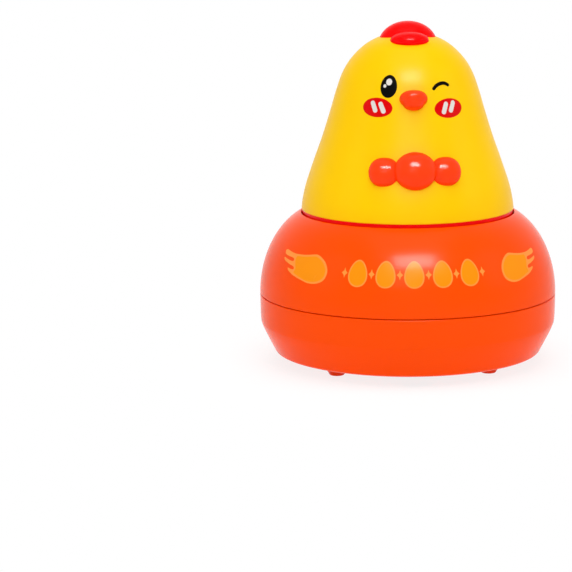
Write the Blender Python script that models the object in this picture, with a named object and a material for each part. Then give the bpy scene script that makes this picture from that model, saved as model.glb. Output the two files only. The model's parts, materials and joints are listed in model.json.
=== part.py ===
"""Press-and-go toy chick on a wheeled base, built as its separate pieces.

Pressing the yellow body down loads two return springs. The rack that hangs from the body turns a pinion.
When the body is let go, the springs lift it, and a one-way clutch passes the rack's motion through a gear
train to the rear axle. The toy runs towards -Y on its two rear wheels and the two skids moulded under its front.
The origin is on the ground, under the middle of the base. +Z is up and the face looks along -Y.
"""

from math import asin, atan2, ceil, cos, pi, radians, sin, sqrt, tan

import bmesh
import bpy
from mathutils import Matrix, Vector

MM = 0.001

# Fits
GAP = 0.3 * MM
RUNNING_GAP = 0.4 * MM

# Base
BASE_RADIUS = 42.9 * MM
CROWN_RADIUS = 24.0 * MM
UPPER_RISE = 25.5 * MM
LOWER_DEPTH = 17.5 * MM
GROUND_CLEARANCE = 3.0 * MM
BASE_WALL = 1.8 * MM
FLOOR_THICKNESS = 1.8 * MM
SEAM_GAP = 0.3 * MM
TONGUE_HEIGHT = 2.0 * MM
TONGUE_THICKNESS = 1.4 * MM
LIP_DEPTH = 3.6 * MM
LIP_THICKNESS = 1.8 * MM

# Body, the bell that is pressed
BELL_RADIUS = 30.7 * MM
BELL_HEIGHT = 51.0 * MM
BELL_WALL = 1.6 * MM
OPENING_GAP = 0.6 * MM
RIM_RISE = 0.8 * MM
PARTING_GAP = 0.16 * MM
PRESS_TRAVEL = 12.0 * MM
RING_THICKNESS = 1.8 * MM
RING_REACH = 2.3 * MM
RING_INSIDE = 2.3 * MM
EAR_MARGIN = 0.5 * MM
EAR_BITE = 0.6 * MM
EAR_BOSS_HEIGHT = 7.0 * MM
EAR_HOLE_FLOOR = 1.0 * MM
JOIN_PEG = 3.0 * MM

# Wheels and skids
WHEEL_RADIUS = 12.0 * MM
TYRE_WIDTH = 6.6 * MM
TYRE_DEPTH = 3.0 * MM
HUB_RIM = 1.6 * MM
HUB_WEB = 1.6 * MM
HUB_BOSS_RADIUS = 3.0 * MM
WHEEL_TRACK = 44.4 * MM
WHEEL_SLOT_GAP = 0.9 * MM
AXLE_BACK = 15.5 * MM
AXLE_RADIUS = 1.0 * MM
AXLE_OVERHANG = 0.9 * MM
SKID_SIDE = 21.7 * MM
SKID_FRONT = 19.0 * MM
SKID_ROOT_RADIUS = 4.5 * MM
SKID_TIP_RADIUS = 1.6 * MM
SKID_SHAPE = ((0.0, 0.0), (0.35, 0.25), (0.62, 0.6), (1.0, 1.0))
TYRE_SHOULDER = 0.8 * MM
BUSH_WALL = 1.0 * MM
BUSH_FLANGE = 1.0 * MM
BUSH_INSET = 0.2 * MM

# Gear train
MODULE = 0.8 * MM
BACKLASH = 0.22 * MM
MESH_GAP = 0.1 * MM
ADDENDUM = 0.8
DEDENDUM = 1.0
PRESSURE_ANGLE = radians(20)
PINION_TEETH = 10
CLUTCH_TEETH = 24
COMPOUND_SMALL_TEETH = 10
COMPOUND_LARGE_TEETH = 22
IDLER_TEETH = 14
AXLE_TEETH = 10
FLYWHEEL_TEETH = 8
GEAR_WIDTH = 2.6 * MM
PINION_WIDTH = 6.0 * MM
IDLER_LEAN = radians(119.7)
COMPOUND_LEAN = radians(168.0)
CLUTCH_LEAN = radians(190.0)
FLYWHEEL_LEAN = radians(60.0)
FLYWHEEL_RADIUS = 7.2 * MM
FLYWHEEL_WIDTH = 7.0 * MM
PIN_RADIUS = 1.0 * MM
HUB_TUBE_RADIUS = 2.3 * MM
TRAIN_INSET = 1.3 * MM
CROWN_TEETH = 6
CROWN_SPAN = radians(32)
CROWN_WALL = 0.5 * MM
CROWN_EDGE = 0.1 * MM

# Gearbox
BOX_HALF_WIDTH = 9.0 * MM
PLATE_THICKNESS = 1.5 * MM
PLATE_MARGIN = 3.0 * MM
SPACER_RADIUS = 2.0 * MM
FOOT_LENGTH = 5.6 * MM
FOOT_WIDTH = 6.4 * MM
FOOT_HEIGHT = 2.0 * MM
FOOT_BOSS_HEIGHT = 1.9 * MM
GUIDE_THICKNESS = 1.7 * MM
GUIDE_RISE = 1.0 * MM
GUIDE_TENON = 2.5 * MM
FOOT_STEP = 0.2 * MM
FRONT_FOOT_STEP = 2.0 * MM
REAR_FOOT_STEP = 3.0 * MM
SPACER_GAP = 0.5 * MM
REAR_SPACER_GAP = 0.6 * MM
FRONT_SPACER_LEAN = radians(78)
LOWER_SPACER_LEAN = radians(-67)
REAR_SPACER_LEAN = radians(48)

# Rack
RACK_BACK_WEB = 2.1 * MM
RACK_REACH = 1.2 * MM
RACK_HEAD_HEIGHT = 2.0 * MM
RACK_FLOOR_GAP = 0.6 * MM
TAB_SIDE = 4.6 * MM
TAB_INSIDE = 2.4 * MM
SLOT_WIDTH = 12.5 * MM
SLOT_MARGIN = 0.5 * MM

# Posts and return springs
POST_WALL_GAP = 1.37 * MM
POST_FRONT = 5.0 * MM
POST_RADIUS = 1.5 * MM
POST_BOSS_HEIGHT = 2.2 * MM
POST_BOSS_RADIUS = 3.9 * MM
SLEEVE_RADIUS = 3.7 * MM
SLEEVE_ARM = 2.64 * MM
SLEEVE_HEIGHT = 5.5 * MM
SPRING_RADIUS = 2.75 * MM
SPRING_WIRE = 0.7 * MM
SPRING_TURNS = 7
CLUTCH_WIRE = 0.4 * MM
CLUTCH_TURNS = 2
CLUTCH_SPRING_GAP = 0.7 * MM

# Screws
SCREW_RADIUS = 0.9 * MM
SCREW_HEAD_RADIUS = 1.9 * MM
SCREW_HEAD_HEIGHT = 1.1 * MM
BASE_SCREW_INSET = 9.9 * MM
BASE_BOSS_MARGIN = 0.4 * MM
RIB_HALF = 1.0 * MM
BASE_SCREW_RADIUS = 1.2 * MM
BASE_SCREW_HEAD_RADIUS = 3.2 * MM
COUNTERBORE_RADIUS = 3.75 * MM
COUNTERBORE_DEPTH = 11.0 * MM
BOSS_WALL = 1.2 * MM
HOLE_FLOOR = 0.6 * MM

# Face and trim
BEAK_RISE = 33.9 * MM
BEAK_HALF_WIDTH = 3.9 * MM
BEAK_HALF_HEIGHT = 2.2 * MM
BEAK_REACH = 4.0 * MM
BEAK_TILT = radians(8)
LOWER_BILL_WIDTH = 3.1 * MM
LOWER_BILL_REACH = 3.3 * MM
LOWER_BILL_DROP = 1.5 * MM
BOW_RISE = 14.4 * MM
BOW_KNOT_RADIUS = 5.3 * MM
BOW_KNOT_RISE = 3.2 * MM
BOW_LOBE_WIDTH = 4.7 * MM
BOW_LOBE_HEIGHT = 4.0 * MM
BOW_LOBE_RISE = 2.7 * MM
BOW_LOBE_REACH = 8.8 * MM
COMB_HEIGHT = 2.9 * MM
COMB_HALF_WIDTH = 8.0 * MM
COMB_HALF_LENGTH = 6.6 * MM
COMB_HALF_HEIGHT = 6.4 * MM
COMB_FORWARD = 0.6 * MM
FRONT_LOBE_WIDTH = 5.9 * MM
FRONT_LOBE_LENGTH = 4.4 * MM
FRONT_LOBE_HEIGHT = 3.7 * MM
FRONT_LOBE_PLACE = 7.2 * MM
FRONT_LOBE_DROP = 2.6 * MM
REAR_LOBE_WIDTH = 5.2 * MM
REAR_LOBE_SIZE = 3.8 * MM
REAR_LOBE_PLACE = 5.4 * MM
REAR_LOBE_DROP = 1.8 * MM
PEG_RADIUS = 1.2 * MM
PEG_PROUD = 1.0 * MM
PEG_DEPTH = 2.2 * MM
COMB_PEG_DEPTH = 2.8 * MM
BEAK_PEG_DROP = 0.8 * MM
BOW_PEG_DROP = 1.0 * MM
FRONT_PEG_PLACE = 4.2 * MM
REAR_PEG_PLACE = 3.6 * MM

# Levels that follow from the sizes above
SEAM_Z = GROUND_CLEARANCE + LOWER_DEPTH
FLOOR_Z = GROUND_CLEARANCE + FLOOR_THICKNESS
OPENING_RADIUS = BELL_RADIUS + OPENING_GAP
OPENING_SHARE = (OPENING_RADIUS - CROWN_RADIUS) / (BASE_RADIUS - CROWN_RADIUS)
OPENING_Z = SEAM_Z + UPPER_RISE * sqrt(1 - OPENING_SHARE**2)
RIM_Z = OPENING_Z + RIM_RISE
CROWN_Z = RIM_Z + BELL_HEIGHT
LIP_Z = OPENING_Z - LIP_DEPTH
RING_TOP = LIP_Z - GAP
RING_BOTTOM = RING_TOP - RING_THICKNESS
PRESSED_Z = RING_BOTTOM - PRESS_TRAVEL
SKIRT_Z = RING_TOP + GAP
RING_INNER_RADIUS = BELL_RADIUS - RING_INSIDE
TAB_FRONT = RING_INNER_RADIUS + 0.5 * RING_INSIDE
POST_PLACE = BELL_RADIUS - BELL_WALL - SLEEVE_RADIUS - POST_WALL_GAP
POST_SIDE = sqrt(POST_PLACE**2 - POST_FRONT**2)
BASE_SCREW_Y = BASE_RADIUS - BASE_SCREW_INSET

# Shafts in the side view, as (y, z), each placed from the one it meshes with


def across(start, distance, lean):
    """The point at a distance from start, leaning up from +Y by an angle, in the side view."""
    return Vector((start.x + distance * cos(lean), start.y + distance * sin(lean)))


def centre_distance(teeth_a, teeth_b):
    return MODULE * (teeth_a + teeth_b) / 2 + MESH_GAP


AXLE = Vector((AXLE_BACK, WHEEL_RADIUS))
IDLER = across(AXLE, centre_distance(AXLE_TEETH, IDLER_TEETH), IDLER_LEAN)
COMPOUND = across(IDLER, centre_distance(IDLER_TEETH, COMPOUND_LARGE_TEETH), COMPOUND_LEAN)
PINION = across(COMPOUND, centre_distance(COMPOUND_SMALL_TEETH, CLUTCH_TEETH), CLUTCH_LEAN)
FLYWHEEL = across(IDLER, centre_distance(IDLER_TEETH, FLYWHEEL_TEETH), FLYWHEEL_LEAN)
RACK_PITCH_Y = PINION.x - MODULE * PINION_TEETH / 2 - MESH_GAP
RACK_BACK_Y = RACK_PITCH_Y - MODULE * DEDENDUM - RACK_BACK_WEB
RACK_MIDDLE_Y = (RACK_PITCH_Y + MODULE * ADDENDUM + RACK_BACK_Y) / 2
RACK_LOW = GROUND_CLEARANCE + PRESS_TRAVEL + RACK_FLOOR_GAP
BORE_RADIUS = PIN_RADIUS + GAP

# Stations across the gearbox, along X
BOX_OUTER = BOX_HALF_WIDTH + PLATE_THICKNESS
TRAIN_LEFT = -BOX_HALF_WIDTH + TRAIN_INSET
TRAIN_RIGHT = TRAIN_LEFT + GEAR_WIDTH
PINION_LEFT = -3.5 * MM
PINION_RIGHT = PINION_LEFT + PINION_WIDTH
CROWN_DEPTH = 0.8 * MM
CLUTCH_FACE = PINION_RIGHT + 2 * CROWN_DEPTH + GAP
CLUTCH_RIGHT = CLUTCH_FACE + GEAR_WIDTH

# Colours as (red, green, blue), roughness and metallic
ORANGE = ((0.98, 0.10, 0.010), 0.38, 0.0)
YELLOW = ((0.96, 0.62, 0.004), 0.42, 0.0)
RED = ((0.86, 0.010, 0.010), 0.34, 0.0)
TRIM_ORANGE = ((0.97, 0.11, 0.015), 0.34, 0.0)
TYRE_BLACK = ((0.018, 0.018, 0.020), 0.80, 0.0)
HUB_WHITE = ((0.74, 0.74, 0.75), 0.45, 0.0)
GEAR_WHITE = ((0.80, 0.79, 0.74), 0.50, 0.0)
BOX_GREY = ((0.16, 0.17, 0.19), 0.55, 0.0)
STEEL = ((0.62, 0.62, 0.64), 0.28, 1.0)

ROUND_SEGMENTS = 40
TYRE_SEGMENTS = 28
BOSS_SEGMENTS = 20
SMALL_SEGMENTS = 12
SCREW_SEGMENTS = 8


def clear_scene():
    for obj in list(bpy.data.objects):
        bpy.data.objects.remove(obj, do_unlink=True)


def material(name, look):
    colour, roughness, metallic = look
    made = bpy.data.materials.new(name)
    made.use_nodes = True
    shader = made.node_tree.nodes["Principled BSDF"]
    shader.inputs["Base Color"].default_value = (*colour, 1.0)
    shader.inputs["Roughness"].default_value = roughness
    shader.inputs["Metallic"].default_value = metallic
    return made


# Mesh helpers


def on_axis(axis, u, v, w):
    """A point with (u, v) in the plane square to the axis and w along it."""
    return {"X": (w, u, v), "Y": (u, w, v), "Z": (u, v, w)}[axis]


def circle(radius, segments, centre=(0.0, 0.0), turn=0.0):
    steps = [turn + 2 * pi * k / segments for k in range(segments)]
    return [(centre[0] + radius * cos(a), centre[1] + radius * sin(a)) for a in steps]


def rectangle(low_u, low_v, high_u, high_v):
    return [(low_u, low_v), (high_u, low_v), (high_u, high_v), (low_u, high_v)]


def prism(mesh, axis, outline, low, high, holes=()):
    """Add to the mesh a straight solid with a flat outline and any holes, from low to high along the axis."""
    edges = []
    for loop in (outline, *holes):
        ring = [mesh.verts.new(on_axis(axis, u, v, low)) for u, v in loop]
        edges += [mesh.edges.new((ring[k - 1], ring[k])) for k in range(len(ring))]
    faces = [f for f in bmesh.ops.triangle_fill(mesh, edges=edges, use_beauty=True)["geom"]
             if isinstance(f, bmesh.types.BMFace)]
    raised = bmesh.ops.extrude_face_region(mesh, geom=faces, use_keep_orig=True)["geom"]
    shift = Vector(on_axis(axis, 0.0, 0.0, high - low))
    bmesh.ops.translate(mesh, vec=shift, verts=[v for v in raised if isinstance(v, bmesh.types.BMVert)])
    bmesh.ops.recalc_face_normals(mesh, faces=mesh.faces[:])


def revolve(mesh, axis, profile, segments, start=0.0, sweep=2 * pi, centre=(0.0, 0.0)):
    """Add a turned solid: profile is a closed outline of (radius, height), turned about the axis."""
    full = abs(sweep - 2 * pi) < 1e-6
    count = segments if full else segments + 1
    rings = []
    for k in range(count):
        turn = start + sweep * k / segments
        rings.append([mesh.verts.new(on_axis(axis, centre[0] + r * cos(turn), centre[1] + r * sin(turn), w))
                      for r, w in profile])
    size = len(profile)
    for k in range(segments):
        here = rings[k]
        after = rings[(k + 1) % count]
        for j in range(size):
            on_the_axis = profile[j - 1][0] == 0.0 and profile[j][0] == 0.0
            if not on_the_axis:
                mesh.faces.new((here[j - 1], here[j], after[j], after[j - 1]))
    if not full:
        mesh.faces.new(rings[0])
        mesh.faces.new(rings[-1])
    bmesh.ops.remove_doubles(mesh, verts=mesh.verts[:], dist=1e-7)
    bmesh.ops.dissolve_degenerate(mesh, edges=mesh.edges[:], dist=1e-8)
    bmesh.ops.recalc_face_normals(mesh, faces=mesh.faces[:])


def rod(mesh, axis, radius, low, high, centre=(0.0, 0.0), segments=SMALL_SEGMENTS, bore=None):
    holes = [circle(bore, segments, centre)] if bore else []
    prism(mesh, axis, circle(radius, segments, centre), low, high, holes)


def ball(mesh, radii, place, segments=14, rings=8):
    """Add an ellipsoid with its three half sizes, put in place by a matrix."""
    shape = place @ Matrix.Diagonal((*radii, 1.0))
    made = bmesh.ops.create_uvsphere(mesh, u_segments=segments, v_segments=rings, radius=1.0, matrix=shape)
    return made["verts"]


def solid(name, mesh, look=None, place=(0.0, 0.0, 0.0), sharp=35):
    """An object from a mesh. Without a material it is a cutter or a guide, which is hidden."""
    data = bpy.data.meshes.new(name)
    mesh.to_mesh(data)
    mesh.free()
    obj = bpy.data.objects.new(name, data)
    bpy.context.collection.objects.link(obj)
    obj.location = place
    if look is None:
        obj.hide_render = True
        obj.display_type = "WIRE"
        return obj
    data.materials.append(look)
    data.shade_smooth()
    data.set_sharp_from_angle(angle=radians(sharp))
    return obj


def combine(target, tool, operation):
    """Join a hidden tool to the target, or cut it out, by a live Boolean."""
    change = target.modifiers.new(tool.name, "BOOLEAN")
    change.operation = operation
    change.solver = "EXACT"
    change.object = tool


# Turned outlines


BELL_SHAPE = ((0.0, 1.0), (0.19, 0.99), (0.37, 0.943), (0.51, 0.868), (0.60, 0.786), (0.663, 0.686),
              (0.727, 0.556), (0.799, 0.418), (0.88, 0.282), (0.955, 0.147), (0.988, 0.06), (1.0, 0.0))


def bell_outline(lift=0.0):
    """The body's outer outline as (radius, z) from the crown down to the rim, moved outwards by lift."""
    points = [(r * BELL_RADIUS, RIM_Z + h * BELL_HEIGHT) for r, h in BELL_SHAPE]
    return offset(points, lift) if lift else points


def offset(points, distance):
    """Points of an outline moved square to it, outwards for a positive distance, from the top down."""
    moved = []
    for k, (r, z) in enumerate(points):
        before = points[max(k - 1, 0)]
        after = points[min(k + 1, len(points) - 1)]
        along = Vector((after[0] - before[0], after[1] - before[1])).normalized()
        if r == 0.0:
            moved.append((0.0, z + distance))
        else:
            moved.append((r - along.y * distance, z + along.x * distance))
    return moved


def bell_radius_at(z):
    """The body's outer radius at a height."""
    points = bell_outline()
    for (r_high, z_high), (r_low, z_low) in zip(points, points[1:]):
        if z_low <= z <= z_high:
            return r_low + (r_high - r_low) * (z - z_low) / (z_high - z_low)
    return BELL_RADIUS


def bell_slope_at(z):
    """How far the body's surface leans back from upright at a height, as an angle."""
    step = 1.0 * MM
    return atan2(bell_radius_at(z - step) - bell_radius_at(z + step), 2 * step)


def upper_outline(steps=8):
    """The upper shell's outer outline from the opening down to the seam: a quarter of an ellipse."""
    start = asin(sqrt(1 - OPENING_SHARE**2))
    angles = [start * (1 - k / steps) for k in range(steps + 1)]
    reach = BASE_RADIUS - CROWN_RADIUS
    return [(CROWN_RADIUS + reach * cos(a), SEAM_Z + UPPER_RISE * sin(a)) for a in angles]


LOWER_SHAPE = ((1.0, 0.0), (0.996, 0.40), (0.984, 0.53), (0.949, 0.714), (0.918, 0.87), (0.911, 0.895),
               (0.893, 0.965), (0.851, 1.0))


def lower_outline():
    """The lower shell's outer outline from the seam down to the edge of the flat floor."""
    return [(r * BASE_RADIUS, SEAM_Z - d * LOWER_DEPTH) for r, d in LOWER_SHAPE]


# Base shells


SCREW_SEAT_Z = GROUND_CLEARANCE + COUNTERBORE_DEPTH
LOWER_BOSS_TOP = SEAM_Z - GAP
UPPER_BOSS_TOP = PRESSED_Z - GAP


def base_lower_shell(look):
    outer = lower_outline()
    inner = offset(outer, -BASE_WALL)
    wall_radius = BASE_RADIUS - BASE_WALL
    tongue_outer = wall_radius - GAP
    tongue_inner = tongue_outer - TONGUE_THICKNESS
    seam = SEAM_Z - SEAM_GAP / 2
    profile = [(0.0, FLOOR_Z), (0.0, GROUND_CLEARANCE)]
    profile += list(reversed(outer))[:-1]
    profile += [(BASE_RADIUS, seam), (tongue_outer, seam), (tongue_outer, SEAM_Z + TONGUE_HEIGHT)]
    profile += [(tongue_inner, SEAM_Z + TONGUE_HEIGHT), (tongue_inner, SEAM_Z - TONGUE_HEIGHT)]
    profile += inner[2:-4] + [(outer[-1][0] - BASE_WALL, FLOOR_Z)]
    mesh = bmesh.new()
    revolve(mesh, "Z", profile, ROUND_SEGMENTS)
    shell = solid("base_lower_shell", mesh, look)

    footing = GROUND_CLEARANCE + FLOOR_THICKNESS / 2
    tool = bmesh.new()
    for side in (-1, 1):
        centre = (side * SKID_SIDE, -SKID_FRONT)
        flare = SKID_ROOT_RADIUS - SKID_TIP_RADIUS
        skid = [(0.0, footing), (0.0, 0.0)]
        skid += [(SKID_TIP_RADIUS + share * flare, rise * GROUND_CLEARANCE) for share, rise in SKID_SHAPE]
        skid += [(SKID_ROOT_RADIUS, footing)]
        revolve(tool, "Z", skid, SMALL_SEGMENTS, centre=centre)
        rod(tool, "Z", COUNTERBORE_RADIUS + BOSS_WALL, footing, LOWER_BOSS_TOP,
            (0.0, side * BASE_SCREW_Y), BOSS_SEGMENTS)
        rod(tool, "Z", POST_BOSS_RADIUS, footing, FLOOR_Z + POST_BOSS_HEIGHT, (side * POST_SIDE, -POST_FRONT))
        for foot_y in foot_places():
            rod(tool, "Z", FOOT_WIDTH / 2, footing, FLOOR_Z + FOOT_BOSS_HEIGHT, (side * foot_x(), foot_y))
    combine(shell, solid("lower_shell_bosses", tool), "UNION")

    tool = bmesh.new()
    below = GROUND_CLEARANCE - FLOOR_THICKNESS / 2
    above = FLOOR_Z + FLOOR_THICKNESS / 2
    slot_half = sqrt(WHEEL_RADIUS**2 - (WHEEL_RADIUS - FLOOR_Z)**2) + WHEEL_SLOT_GAP
    for side in (-1, 1):
        middle = side * WHEEL_TRACK / 2
        half = TYRE_WIDTH / 2 + WHEEL_SLOT_GAP
        slot = rectangle(middle - half, AXLE_BACK - slot_half, middle + half, AXLE_BACK + slot_half)
        prism(tool, "Z", slot, below, above)
        centre = (0.0, side * BASE_SCREW_Y)
        hole = BASE_SCREW_RADIUS + GAP
        counterbore = [(0.0, LOWER_BOSS_TOP + GAP), (0.0, below), (COUNTERBORE_RADIUS, below)]
        counterbore += [(COUNTERBORE_RADIUS, SCREW_SEAT_Z), (hole, SCREW_SEAT_Z)]
        counterbore += [(hole, LOWER_BOSS_TOP + GAP)]
        revolve(tool, "Z", counterbore, BOSS_SEGMENTS, centre=centre)
        rod(tool, "Z", POST_RADIUS + GAP, FLOOR_Z, FLOOR_Z + POST_BOSS_HEIGHT + GAP,
            (side * POST_SIDE, -POST_FRONT))
        for foot_y in foot_places():
            rod(tool, "Z", SCREW_RADIUS + GAP, FLOOR_Z - HOLE_FLOOR, FLOOR_Z + FOOT_BOSS_HEIGHT + GAP,
                (side * foot_x(), foot_y), SCREW_SEGMENTS)
    half = rack_thickness() / 2 + SLOT_MARGIN
    prism(tool, "Z", rectangle(-SLOT_WIDTH / 2, RACK_MIDDLE_Y - half, SLOT_WIDTH / 2, RACK_MIDDLE_Y + half),
          below, above)
    combine(shell, solid("lower_shell_cuts", tool), "DIFFERENCE")

    tool = bmesh.new()
    for side in (-1, 1):
        middle = side * WHEEL_TRACK / 2
        half = TYRE_WIDTH / 2 + RUNNING_GAP
        rod(tool, "X", WHEEL_RADIUS + RUNNING_GAP, middle - half, middle + half, tuple(AXLE), TYRE_SEGMENTS)
    guide_low, _, _, guide_high = guide_levels()
    guide_front = RACK_BACK_Y - GAP - GUIDE_THICKNESS
    prism(tool, "Z", rectangle(-BOX_OUTER - GAP, guide_front - GAP, PINION_RIGHT + GAP, RACK_BACK_Y),
          guide_low - GAP, guide_high)
    combine(shell, solid("lower_shell_running_room", tool), "DIFFERENCE")
    return shell


def base_upper_shell(look):
    outer = upper_outline()
    inner = [p for p in offset(upper_outline(5), -BASE_WALL) if p[0] > OPENING_RADIUS + LIP_THICKNESS]
    wall_radius = BASE_RADIUS - BASE_WALL
    seam = SEAM_Z + SEAM_GAP / 2
    profile = outer[:-1] + [(BASE_RADIUS, seam), (wall_radius, seam)]
    profile += [p for p in reversed(inner) if p[1] > seam + SEAM_GAP]
    profile += [(OPENING_RADIUS + LIP_THICKNESS, LIP_Z), (OPENING_RADIUS, LIP_Z)]
    mesh = bmesh.new()
    revolve(mesh, "Z", profile, ROUND_SEGMENTS)
    shell = solid("base_upper_shell", mesh, look)

    tool = bmesh.new()
    boss = BASE_SCREW_RADIUS + GAP + BOSS_WALL + BASE_BOSS_MARGIN
    rib_low = SEAM_Z + TONGUE_HEIGHT + GAP
    for side in (-1, 1):
        rod(tool, "Z", boss, SEAM_Z + GAP, UPPER_BOSS_TOP, (0.0, side * BASE_SCREW_Y), BOSS_SEGMENTS)
    combine(shell, solid("upper_shell_bosses", tool), "UNION")
    tool = bmesh.new()
    for side in (-1, 1):
        near = BASE_SCREW_Y + 0.7 * boss
        far = wall_radius + BASE_WALL * 0.3
        low, high = sorted((side * near, side * far))
        prism(tool, "Z", rectangle(-RIB_HALF, low, RIB_HALF, high), rib_low, UPPER_BOSS_TOP - GAP)
    combine(shell, solid("upper_shell_ribs", tool), "UNION")
    tool = bmesh.new()
    for side in (-1, 1):
        hole = BASE_SCREW_RADIUS + GAP
        rod(tool, "Z", hole, SEAM_Z - GAP, UPPER_BOSS_TOP + GAP, (0.0, side * BASE_SCREW_Y))
    combine(shell, solid("upper_shell_cuts", tool), "DIFFERENCE")
    return shell


# Body


def ear_spots():
    """Centres of the four screws that clamp the ring to the body halves."""
    reach = BELL_RADIUS - BELL_WALL - ear_radius() + EAR_BITE
    return [(reach * cos(a), reach * sin(a)) for a in (radians(45 + 90 * k) for k in range(4))]


def ear_radius():
    return SCREW_RADIUS + GAP + BOSS_WALL + EAR_MARGIN


def join_z():
    """Height of the peg and socket that line up the body halves near the crown."""
    return RIM_Z + 0.84 * BEAK_RISE + 4 * PEG_RADIUS + 2 * BOSS_WALL


def half_shell(name, side, look):
    """One half of the bell. side is -1 for the front, which faces -Y, and 1 for the rear."""
    outer = bell_outline() + [(BELL_RADIUS, SKIRT_Z)]
    inner = offset(bell_outline(), -BELL_WALL) + [(BELL_RADIUS - BELL_WALL, SKIRT_Z)]
    mesh = bmesh.new()
    start = pi if side < 0 else 0.0
    revolve(mesh, "Z", outer + list(reversed(inner)), ROUND_SEGMENTS // 2, start=start, sweep=pi)
    bmesh.ops.translate(mesh, vec=(0.0, side * PARTING_GAP / 2, 0.0), verts=mesh.verts[:])
    shell = solid(name, mesh, look)

    tool = bmesh.new()
    for x, y in ear_spots():
        if y * side > 0:
            rod(tool, "Z", ear_radius() - GAP, SKIRT_Z, SKIRT_Z + EAR_BOSS_HEIGHT, (x, y))
    socket = PEG_RADIUS + GAP + BOSS_WALL
    wall_y = bell_radius_at(join_z() + socket) - BELL_WALL * 0.4
    ends = sorted((side * PARTING_GAP / 2, side * wall_y))
    rod(tool, "Y", socket, ends[0], ends[1], (0.0, join_z()))
    combine(shell, solid(name + "_bosses", tool), "UNION")

    if side > 0:
        tool = bmesh.new()
        rod(tool, "Y", PEG_RADIUS, -JOIN_PEG, JOIN_PEG, (0.0, join_z()))
        combine(shell, solid(name + "_peg", tool), "UNION")
    tool = bmesh.new()
    if side < 0:
        rod(tool, "Y", PEG_RADIUS + GAP, -JOIN_PEG - GAP, GAP, (0.0, join_z()))
    for x, y in ear_spots():
        if y * side > 0:
            hole_top = SKIRT_Z + EAR_BOSS_HEIGHT - EAR_HOLE_FLOOR
            rod(tool, "Z", SCREW_RADIUS + GAP, SKIRT_Z - GAP, hole_top, (x, y), SCREW_SEGMENTS)
    for spot in peg_spots():
        if spot[3] == side:
            axis, centre, ends, _ = spot
            rod(tool, axis, PEG_RADIUS + GAP, ends[0] - GAP, ends[1] + GAP, centre)
    combine(shell, solid(name + "_cuts", tool), "DIFFERENCE")
    return shell


def peg_spots():
    """Pegs of the trim as (axis, centre in the plane square to it, ends along it, side of the body)."""
    spots = []
    for peg_z in (RIM_Z + BEAK_RISE - BEAK_PEG_DROP, RIM_Z + BOW_RISE - BOW_PEG_DROP):
        front = -bell_radius_at(peg_z)
        spots.append(("Y", (0.0, peg_z), (front - PEG_PROUD, front + BELL_WALL + PEG_DEPTH), -1))
    ends = (CROWN_Z - BELL_WALL - COMB_PEG_DEPTH, CROWN_Z + PEG_PROUD)
    spots.append(("Z", (0.0, -FRONT_PEG_PLACE), ends, -1))
    spots.append(("Z", (0.0, REAR_PEG_PLACE), ends, 1))
    return spots


def surface_frame(turn, z):
    """A matrix on the body's surface: local X goes round it, local Z points out of it, local Y runs up it."""
    radius = bell_radius_at(z)
    around = Matrix.Rotation(turn, 4, "Z")
    tilt = Matrix.Rotation(radians(90) - bell_slope_at(z), 4, "X")
    return around @ Matrix.Translation((0.0, -radius, z)) @ tilt


def bell_clearance():
    """A cutter with the body's outside, grown by the fitting gap, that gives trim its underside."""
    mesh = bmesh.new()
    outline = bell_outline(GAP) + [(BELL_RADIUS + GAP, SKIRT_Z)]
    revolve(mesh, "Z", outline + [(0.0, SKIRT_Z)], ROUND_SEGMENTS, start=pi / (2 * ROUND_SEGMENTS))
    return solid("bell_clearance", mesh)


def trim(name, balls, pegs, clearance, look):
    """A raised piece on the body: its swollen forms joined, cut to the body's surface, with its pegs."""
    pieces = []
    for index, (radii, place) in enumerate(balls):
        mesh = bmesh.new()
        ball(mesh, radii, place)
        title = name if index == 0 else name + "_form_" + str(index)
        pieces.append(solid(title, mesh, look if index == 0 else None))
    for extra in pieces[1:]:
        combine(pieces[0], extra, "UNION")
    combine(pieces[0], clearance, "DIFFERENCE")
    for index, (axis, centre, ends, _) in enumerate(pegs):
        mesh = bmesh.new()
        rod(mesh, axis, PEG_RADIUS, ends[0], ends[1], centre)
        combine(pieces[0], solid(name + "_peg_" + str(index), mesh), "UNION")
    return pieces[0]


def comb_half(name, side, pegs, clearance, look):
    """Half of the comb, cut at the parting plane: small front lobe, tall middle lobe, small rear lobe."""
    middle_z = CROWN_Z + COMB_HEIGHT - COMB_HALF_HEIGHT
    middle = (COMB_HALF_WIDTH, COMB_HALF_LENGTH, COMB_HALF_HEIGHT)
    front = (FRONT_LOBE_WIDTH, FRONT_LOBE_LENGTH, FRONT_LOBE_HEIGHT)
    rear = (REAR_LOBE_WIDTH, REAR_LOBE_SIZE, REAR_LOBE_SIZE)
    lobes = [(middle, (0.0, -COMB_FORWARD, middle_z)),
             (front, (0.0, -FRONT_LOBE_PLACE, CROWN_Z - FRONT_LOBE_DROP)),
             (rear, (0.0, REAR_LOBE_PLACE, CROWN_Z - REAR_LOBE_DROP))]
    balls = [(radii, Matrix.Translation(spot)) for radii, spot in lobes]
    piece = trim(name, balls, [], clearance, look)
    mesh = bmesh.new()
    far = BELL_RADIUS
    near = side * PARTING_GAP / 2
    low, high = sorted((near, -side * far))
    prism(mesh, "Z", rectangle(-far, low, far, high), CROWN_Z - far, CROWN_Z + far)
    combine(piece, solid(name + "_parting", mesh), "DIFFERENCE")
    for axis, centre, ends, _ in pegs:
        mesh = bmesh.new()
        rod(mesh, axis, PEG_RADIUS, ends[0], ends[1], centre)
        combine(piece, solid(name + "_peg", mesh), "UNION")
    return piece


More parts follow.
